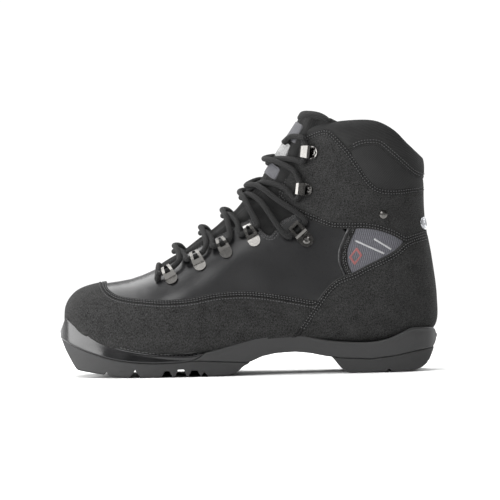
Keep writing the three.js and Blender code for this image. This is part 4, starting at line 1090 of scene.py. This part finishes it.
MID_LOW = np.array([
    [-48, 12.6], [-40, 12.3], [-1, 10.1], [4, 12], [10.3, 14.8], [21, 17], [37.3, 17.8], [49.5, 16.4],
    [61.7, 13.7], [68.2, 12.8], [73.9, 12], [98.4, 10.6], [118.8, 13], [135.2, 16.3], [148, 18.2],
    [151.2, 21], [152.8, 26], [160, 33],
])
HEEL_LOW = np.array([
    [66, 13.4], [68.2, 11.2], [71.4, 7], [73.8, 4.2], [76.2, 2], [78, 0.8], [80.4, 0], [128, 0],
    [134.5, 0.8], [139.5, 2.6], [143.4, 5.4], [146.4, 9.4], [148.8, 14.4], [151, 20.5],
])


def plan_y(x, side):
    plan = OUTER_PLAN if side < 0 else INNER_PLAN
    return np.interp(x, plan[:, 0], plan[:, 1])


def line_at(line, x):
    return np.interp(x, line[:, 0], line[:, 1])


WALL_POINTS = 15
TOP_POINTS = 11
RAIL = (8, 16)  # the guide groove's two edges, from the middle of the sole
RAIL_SPAN = (-120, 150)
RAIL_DEPTH = 4.5
RAIL_STEPS = [edge + e for edge in RAIL for e in (-0.05, 0.05)]
BOTTOM_SPOTS = [-30, -22, *[-y for y in RAIL_STEPS[::-1]], 0, *RAIL_STEPS, 22, 30]


def sole_wall(x, side, zb, zt, spread, corner, lip):
    """Points up one side of the sole: its foot spread outwards, its corners rounded, its top lipped."""
    t = (1 - np.cos(np.linspace(0, PI, WALL_POINTS))) / 2
    z = zb + (zt - zb) * t
    y = plan_y(x, side) * (0.93 + 0.07 * np.clip(z / 30, 0, 1))
    reach = np.minimum(zt - z, z - zb)
    inset = corner * (1 - np.sqrt(1 - (1 - np.clip(reach / corner, 0, 1)) ** 2))
    swell = np.exp(-(((zt - z - 1.3) / 0.9) ** 2)) - 0.8 * np.exp(-(((zt - z - 3.2) / 0.7) ** 2))
    y = y + side * (spread * (1 - (z - zb) / (zt - zb)) + lip * swell - inset)
    centre = (plan_y(x, -1) + plan_y(x, 1)) / 2
    y = np.minimum(y, centre - 0.02) if side < 0 else np.maximum(y, centre + 0.02)
    return np.stack([np.full(WALL_POINTS, x), y, z], 1)


def sole_bottom(x, left, right, zb, zt, grooves, rails, pocket):
    """Points across the underside.

    A groove is (x, depth, half width, half of its flat, inner end), and -1 takes it right across.
    """
    spots = np.array(BOTTOM_SPOTS)
    if pocket:
        ends = [edge + e for edge in pocket[1:3] for e in (-0.02, 0.02)]
        spots = np.sort(np.concatenate([spots, ends]))
    z = np.full(len(spots), zb)
    for at, depth, half, flat, inner_end in grooves:
        away = abs(x - at)
        if away < half:
            cut = zb + depth * min(1.0, (half - away) / (half - flat))
            z = np.where(np.abs(spots) > inner_end, np.maximum(z, cut), z)
    if rails and RAIL_SPAN[0] < x < RAIL_SPAN[1]:
        inside = (np.abs(spots) > RAIL[0]) & (np.abs(spots) < RAIL[1])
        z = np.where(inside, np.maximum(z, RAIL_DEPTH), z)
    if pocket and x < pocket[0]:
        z = np.where((spots > pocket[1]) & (spots < pocket[2]), np.maximum(z, pocket[3]), z)
    y = np.clip(spots, left + 0.4, right - 0.4)
    return np.stack([np.full(len(spots), x), y, np.minimum(z, zt - 0.1)], 1)


def sole_top(x, left, right, zb, zt, cup):
    """Points across the top, flat or hollowed to hold the last."""
    share = np.linspace(0, 1, TOP_POINTS + 2)[1:-1]
    if not cup:
        y = left + (right - left) * share
        z = np.full(TOP_POINTS, zt)
        return np.stack([np.full(TOP_POINTS, x), y, z], 1)
    inner = [float(side_y(x, zt, side, 0.9)) + SIDE_SHIFT for side in (-1, 1)]
    floor = float(surface(locate(x, zt, 1)[0], -PI / 2, -0.5)[2])
    inner[0] = max(inner[0], left + 0.5)
    inner[1] = min(inner[1], right - 0.5)
    inner[0] = min(inner[0], inner[1] - 0.1)
    floor = min(max(floor, zb + 0.5), zt)
    y = inner[0] + (inner[1] - inner[0]) * share
    depth = np.clip(np.minimum(y - inner[0], inner[1] - y) / 3.0, 0, 1)
    z = zt - (zt - floor) * depth
    y[[0, -1]] = inner
    z[[0, -1]] = zt
    return np.stack([np.full(TOP_POINTS, x), y, z], 1)


def sole_loft(
    name, xs, low, high, material, cup=False, grooves=(), rails=False, flare=None, corner=1.2, lip=0.0,
    pocket=None,
):
    """A slice of the sole between two side-view lines, ring by ring along the boot.

    The pocket is (its rear end, its two sides, its roof), and it is open at the toe.
    """
    rings = []
    for x in np.unique(np.round(np.asarray(xs, float), 4)):
        zb = low(x)
        zt = max(high(x), zb + 0.15)
        spread = flare(x) if flare else 0
        outer_wall, inner_wall = (sole_wall(x, side, zb, zt, spread, corner, lip) for side in (-1, 1))
        bottom = sole_bottom(x, outer_wall[0, 1], inner_wall[0, 1], zb, zt, grooves, rails, pocket)
        for wall in (outer_wall, inner_wall):
            wall[:, 2] = np.maximum(wall[:, 2], bottom[0, 2])
        top = sole_top(x, outer_wall[-1, 1], inner_wall[-1, 1], zb, zt, cup)
        rings.append(np.concatenate([outer_wall[::-1], bottom, inner_wall, top[::-1]]) - [0, SIDE_SHIFT, 0])
    rings = np.array(rings)
    points = np.concatenate([rings.reshape(-1, 3), rings[[0, -1]].mean(1)])
    return make_object(name, points, capped_faces(*rings.shape[:2]), [M[material]])


def round_end(start, end, steps, at_start=True, at_end=True):
    t = np.linspace(0, 1, steps)
    if at_start and at_end:
        t = (1 - np.cos(PI * t)) / 2
    elif at_start:
        t = 1 - np.cos(PI / 2 * t)
    elif at_end:
        t = np.sin(PI / 2 * t)
    return start + (end - start) * t


def build_sole():
    def along(line):
        return lambda x: line_at(line, x)

    bumper_x = [*round_end(-153.95, -120, 40, True, False), *np.arange(-120, -36, 1.6), -36.2]
    bumper = sole_loft(
        "toe_bumper_gloss", bumper_x, along(BUMPER_LOW), along(FEATHER), "gloss", cup=True,
        flare=lambda x: float(np.interp(x, [-118, -55], [3.2, 0.6])), corner=0.8, lip=0.1,
    )
    bends_at_toe(bumper, "toe_bumper", "ball_bumper")
    grooves = [
        (-115.6, 2.4, 2.2, 0, -1), (-92.4, 6, 4, 0, -1), (-66.5, 4.6, 4.4, 1.8, 21),
        (-55.3, 5.8, 4.6, 2.4, -1), (-44.4, 4.8, 4.8, 2.4, 21), (-36.4, 3.4, 2.8, 0, -1),
    ]

    def tread_low(x):
        if x < -88:
            return line_at(TREAD_LOW, x)
        return float(np.interp(x, [-88, -24, -14, -9.5, -5.4, 0.4], [0, 0, 0.8, 2.9, 6.9, 10.0]))

    def tread_high(x):
        if x < -48:
            return line_at(BUMPER_LOW, x)
        return float(np.interp(x, [-48, -40, -1, 2], [12.6, 12.3, 10.1, 10.1]))

    breaks = []
    for at, _, half, flat, _ in grooves:
        breaks += [at + side * e for side in (-1, 1) for e in (half, half - 0.02, flat + 0.02)]
    # The pocket holds the toe bar's bracket.
    near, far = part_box("toe_bar_bracket")
    sides = near.y / MM + SIDE_SHIFT - 0.3, far.y / MM + SIDE_SHIFT + 0.3
    pocket = (far.x / MM + 0.5, *sides, far.z / MM + 0.4)
    front_x = round_end(-153.6, -120, 44, True, False)
    tread_x = [*front_x, *np.arange(-120, 0.4, 1.5), *breaks, -120.02, pocket[0], pocket[0] - 0.02]
    tread = sole_loft(
        "outsole_rubber", tread_x, tread_low, tread_high, "tread", grooves=grooves, rails=True, corner=1.0,
        pocket=pocket,
    )
    bends_at_toe(tread, "outsole_toe", "outsole_forefoot")

    def mid_high(x):
        return line_at(BUMPER_LOW if x < -36 else FEATHER, x)

    mid_x = [*np.arange(-48, 125, 1.8), *round_end(125, 153.3, 40, False, True)]
    midsole = sole_loft(
        "midsole_rubber", mid_x, along(MID_LOW), mid_high, "rubber", cup=True, corner=1.1, lip=0.35
    )
    on_lower(midsole, "midsole")
    heel_groove = (112.9, 2.6, 2.4, 0, 14)
    heel_breaks = [110.5, 110.52, 115.3, 115.28, 112.9]
    heel_x = [*np.arange(66.5, 125, 1.8), *round_end(125, 149.9, 30, False, True), *heel_breaks]
    heel = sole_loft(
        "heel_tread_rubber", heel_x, along(HEEL_LOW), lambda x: line_at(MID_LOW, x) - 0.1,
        "tread", grooves=[heel_groove], rails=True, corner=1.0,
    )
    on_lower(heel, "heel_tread")


# ------------------------------------------------------------------ hardware
LOOKS = {
    "toe_puff": "plastic", "heel_stiffener": "plastic", "toe_bar_bracket": "plastic",
    "insole_board": "board", "insole_board_toe": "board", "toe_bar": "steel", "shank": "steel",
}


def dress_nodes():
    """Materials for the CAD nodes that no piece replaces, and rounded edges for the metal ones."""
    for name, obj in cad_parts.items():
        if obj.hide_render:
            continue
        look = LOOKS.get(name, "nickel")
        obj.data.materials.clear()
        obj.data.materials.append(M[look])
        if look in ("nickel", "steel"):
            bevel = obj.modifiers.new("edge_round", "BEVEL")
            bevel.width = 0.00045
            bevel.segments = 3
            bevel.limit_method = "ANGLE"
            bevel.angle_limit = math.radians(32)
            level = obj.modifiers.new("level_faces", "WEIGHTED_NORMAL")
            level.weight = 100
            obj.data.polygons.foreach_set("use_smooth", np.ones(len(obj.data.polygons), bool))


BADGE_SIDES = 48
BADGE_SHIFT = (-3.5, 2.2)  # mm towards the outer side and up from the CAD's badge
# Radius and height of the badge's profile, from its middle out.
BADGE_PROFILE = [
    (0.02, 1.0), (1.1, 1.0), (1.5, 0.72), (2.3, 0.7), (2.7, 1.05), (3.1, 1.05), (3.4, 0.7), (4.2, 0.72),
    (4.6, 1.2), (5.0, 1.1), (5.2, 0.5), (5.2, -0.3),
]


def build_badge():
    """A low round badge with two plain rings."""
    low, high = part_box("heel_badge")
    y = (low.y + high.y) / 2 / MM + BADGE_SHIFT[0]
    z = (low.z + high.z) / 2 / MM + BADGE_SHIFT[1]
    turns = np.linspace(0, 2 * PI, BADGE_SIDES, endpoint=False)
    rings = []
    for radius, rise in BADGE_PROFILE:
        dy, dz = radius * np.cos(turns), radius * np.sin(turns)
        base = back_x(y + SIDE_SHIFT + dy, z + dz)
        rings.append(np.stack([base + 1.5 + rise, y + dy, z + dz], 1))
    centres = [[ring[:, 0].mean(), y, z] for ring in (rings[0], rings[-1])]
    faces = capped_faces(len(rings), BADGE_SIDES)
    made = make_object("heel_badge_rings", np.concatenate([*rings, centres]), faces, [M["badge"]])
    on_cuff(made, "heel_badge")


def back_x(y, z):
    """x of the last's back at height z and y from the centre line."""
    low, high = np.full(np.shape(z), 100.0), np.full(np.shape(z), 160.0)
    for _ in range(30):
        x = (low + high) / 2
        inside = side_y(x, z, 1) + SIDE_SHIFT > np.abs(y) + 1e-3
        low, high = np.where(inside, x, low), np.where(inside, high, x)
    return x


# ------------------------------------------------------------------ lace
LOOPS = [(-61.4, 78.6), (-38.6, 89.4), (-17.2, 99.4), (5.4, 108.8)]
LOCK = (47.4, 108.4)
HOOKS = [(47, 148.4), (52.4, 178.4)]
HOOK_DROPS = (1.4, 1.3)  # stations from the lock and the first hook down to the next crossing
LONG_DROP = 1.1  # stations from the end of a long strand up to its lock or hook
SHORT_DROP = 0.55
# Heights over the last and half angle of a crossing, for the upper and the lower strand.
LOOP_SPREAD = 0.56
LOOP_TOPS = {True: (5.6, 8.8, 11.2, 8.8, 5.6), False: (4.8, 6.2, 6.4, 6.2, 4.8)}
HOOK_SPREAD = 0.72
HOOK_TOPS = {True: (5.0, 7.4, 9.4, 7.4, 5.0), False: (4.4, 4.8, 4.8, 4.8, 4.4)}
LACE_RADIUS = 2.2
LACE_STEP = 0.7
LACE_SIDES = 14


def surface_frame(x, z, side, up, d):
    """Axes (across, upwards, outwards) and place of a piece of hardware on the boot's side."""

    def y(dx, dz):
        return float(side_y(x + dx, z + dz, side, d))

    sx, sz = (y(1, 0) - y(-1, 0)) / 2, (y(0, 1) - y(0, -1)) / 2
    out = np.array([-sx, 1, -sz]) * side
    out /= np.linalg.norm(out)
    along = np.array([up[0], sx * up[0] + sz * up[1], up[1]])
    along /= np.linalg.norm(along)
    return np.cross(along, out), along, out, np.array([x, y(0, 0), z])


def lace_route():
    """The lace's own points, from its outer end down to the first row, across, and up again."""
    # Place, upward direction, height up it, height off the side, and half length of each pass.
    rows = [(x, z, (-0.45, 0.89), 7.0, 3.5, 7.6) for x, z in LOOPS]
    rows.append((*LOCK, (-0.66, 0.75), 9.6, 3.8, 9.4))

    def at(f, x, y, z):
        return f[3] + f[0] * x + f[1] * y + f[2] * z

    def u_of(x, z):
        return float(locate(x, z, 1)[0])

    def through(row, side):
        x, z, up, y, n, reach = row
        f = surface_frame(x, z, side, up, 0)
        toe = 1 if f[0][0] < 0 else -1
        shares = (1, 0.45, 0, -0.45, -1)
        return [at(f, toe * s * reach, y + 1.2 * s * s, n + 0.4 * s * s) for s in shares]

    def over(from_u, cross_u, to_u, side, tops, spread):
        steps = (from_u, (from_u + cross_u) / 2, cross_u, (cross_u + to_u) / 2, to_u)
        return [surface(u, PI / 2 + side * spread * (k - 2) / 2, tops[k]) for k, u in enumerate(steps)]

    def hook_round(hook, side):
        f = surface_frame(*hook, side, (1, -0.1), 1.5)
        down = 1 if f[0][2] < 0 else -1
        spots = [(8.4, -5.4, 2.6), (4, -2.5, 4.0), (0, -2.2, 4.1), (-4, -2.5, 4.0), (-8.4, -5.4, 2.6)]
        return [at(f, down * x, y, n) for x, y, n in spots]

    def half(start):
        side = start
        points = through(rows[0], side)
        for k in range(1, len(rows)):
            u = u_of(*rows[k - 1][:2])
            drop = LONG_DROP if k == len(LOOPS) else SHORT_DROP
            tops = LOOP_TOPS[start * (-1) ** k > 0]
            points += over(u + 0.25, u, u_of(*rows[k][:2]) - drop, side, tops, LOOP_SPREAD)
            side = -side
            points += through(rows[k], side)
        u = u_of(*LOCK) - 0.1
        for k, (hook, drop) in enumerate(zip(HOOKS, HOOK_DROPS), len(rows)):
            hook_u = u_of(*hook)
            tops = HOOK_TOPS[start * (-1) ** k > 0]
            points += over(u, u - drop, hook_u - LONG_DROP, side, tops, HOOK_SPREAD)
            side = -side
            points += hook_round(hook, side)
            u = hook_u + 0.6
        # The end goes under the top row.
        ending = ((0, 0.7, 5.6), (0.3, 0.45, 6.2), (1.1, 0.3, 5.4))
        return points + [surface(u - down, PI / 2 - side * turn, d) for down, turn, d in ending]

    front_u = u_of(*LOOPS[0]) - 0.6
    front = [surface(front_u, PI / 2 + a, 2.6) for a in (0.66, 0.34, 0, -0.34, -0.66)]
    return np.array(half(-1)[::-1] + front + half(1), float)


def centripetal(points):
    """A smooth path through the points, sampled evenly."""
    p = np.concatenate([[2 * points[0] - points[1]], points, [2 * points[-1] - points[-2]]])
    out = []
    for i in range(len(points) - 1):
        p0, p1, p2, p3 = p[i : i + 4]
        t0 = 0.0
        t1 = t0 + np.linalg.norm(p1 - p0) ** 0.5
        t2 = t1 + np.linalg.norm(p2 - p1) ** 0.5
        t3 = t2 + np.linalg.norm(p3 - p2) ** 0.5
        t = np.linspace(t1, t2, 16, endpoint=False)[:, None]

        def blend(start, end, first, second):
            return (end - t) / (end - start) * first + (t - start) / (end - start) * second

        a1, a2, a3 = blend(t0, t1, p0, p1), blend(t1, t2, p1, p2), blend(t2, t3, p2, p3)
        out.append(blend(t1, t2, blend(t0, t2, a1, a2), blend(t1, t3, a2, a3)))
    return spaced(np.concatenate([*out, points[-1:]]), LACE_STEP)


def build_lace():
    path = centripetal(lace_route())
    n, m = len(path), LACE_SIDES
    tangent = np.gradient(path, axis=0)
    tangent /= np.linalg.norm(tangent, axis=1, keepdims=True)
    up = np.zeros_like(path)
    up[0] = np.cross(tangent[0], [0, 0, 1.0])
    up[0] /= np.linalg.norm(up[0])
    for i in range(1, n):
        v = up[i - 1] - tangent[i] * (up[i - 1] @ tangent[i])
        up[i] = v / np.linalg.norm(v)
    across = np.cross(tangent, up)
    turn = np.linspace(0, 2 * PI, m, endpoint=False)
    run = np.arange(n) * LACE_STEP
    strands = [np.sin(run[:, None] * BRAID_RUN + way * turn * BRAID_TURNS) for way in (1, -1)]
    r = LACE_RADIUS * (1 + 0.03 * np.maximum(*strands))[:, :, None]
    round_path = np.cos(turn)[:, None] * up[:, None] + np.sin(turn)[:, None] * across[:, None]
    points = np.concatenate([(path[:, None] + r * round_path).reshape(-1, 3), path[[0, -1]]])
    lay = np.stack([np.repeat(run, m), np.tile(turn, n), np.zeros(n * m)], 1)
    lay = np.concatenate([lay, lay[[0, -1]]])
    made = make_object("lace_braided", points, capped_faces(n, m), [M["cord"]], fields={"lay": lay})
    bends_at_cuff(made, "lace")


# ------------------------------------------------------------------ studio
def build_studio():
    scene = bpy.context.scene
    scene.view_settings.view_transform = "Standard"
    lens = bpy.data.cameras.new("camera")
    lens.lens = 300
    lens.sensor_width = 36
    camera = bpy.data.objects.new("camera", lens)
    scene.collection.objects.link(camera)
    view_width = 408 * MM
    distance = view_width * lens.lens / lens.sensor_width
    aim = Vector((2.2 * MM, 0, 99.8 * MM))
    tilt = math.radians(1.5)
    camera.location = aim + Vector((0, -math.cos(tilt), math.sin(tilt))) * distance
    camera.rotation_mode = "QUATERNION"
    look = (aim - camera.location).to_track_quat("-Z", "Y")
    camera.rotation_quaternion = look @ Quaternion((0, 0, 1), math.radians(-1.17))
    lens.clip_start, lens.clip_end = 0.05, 50
    scene.camera = camera

    def area(name, place, size, power, target=(0, 0, 0.09)):
        data = bpy.data.lights.new(name, "AREA")
        data.shape = "RECTANGLE"
        data.size, data.size_y = size
        data.energy = power
        lamp = bpy.data.objects.new(name, data)
        lamp.location = place
        lamp.rotation_euler = (Vector(target) - Vector(place)).to_track_quat("-Z", "Y").to_euler()
        scene.collection.objects.link(lamp)

    area("key", (-0.55, -1.1, 0.95), (0.7, 0.5), 8)
    area("side", (-1.2, -0.4, 0.45), (1.5, 0.8), 28)
    area("front", (0.6, -1.6, 0.75), (0.9, 0.7), 4)
    area("rim", (0.9, 0.9, 0.7), (0.8, 0.6), 8)
    area("behind", (-0.55, 0.75, 1.02), (0.8, 0.6), 8)
    area("top", (0.0, 0.0, 1.35), (1.5, 1.1), 22)

    world = bpy.data.worlds.new("studio")
    scene.world = world
    world.use_nodes = True
    # A white backdrop at eye level, brightest behind the boot, with a dimmer room above it.
    background = world.node_tree.nodes["Background"]
    background.inputs["Color"].default_value = (1, 1, 1, 1)
    sky = Nodes(world.node_tree)
    parts = sky.node("SeparateXYZ", {0: sky.node("TexCoord").outputs["Generated"]})
    fade = sky.ramp(sky.math("ABSOLUTE", parts.outputs["Z"]), 0.1, 0.4, 1.06, 0.16)
    front = sky.ramp(parts.outputs["Y"], -0.4, 0.1, 0.18, 1.0)
    sky.put(background.inputs["Strength"], sky.math("MULTIPLY", fade, front))
    mesh = bpy.data.meshes.new("floor")
    left, right, front_end, back_end, level = -1.6, 1.6, -2.9, 0.8, -0.0006
    corners = [(left, front_end), (right, front_end), (right, back_end), (left, back_end)]
    mesh.from_pydata([(x, y, level) for x, y in corners], [], [(0, 1, 2, 3)])
    floor = bpy.data.objects.new("floor", mesh)
    scene.collection.objects.link(floor)
    s = Shader("PaleFloor")
    tone = s.mix(s.noise(s.space(), 2.0, 2), grey(0.9), grey(0.93))
    s.set(Base_Color=tone, Roughness=0.9)
    mesh.materials.append(s.material)


build_studio()
build_lace()
build_vamp()
build_rand()
build_counter()
build_supports()
build_ankle_panel()
build_collar()
build_heel_pad()
build_linings()
build_tongue()
build_tongue_roll()
build_tongue_trim()
build_sole()
build_badge()
dress_nodes()
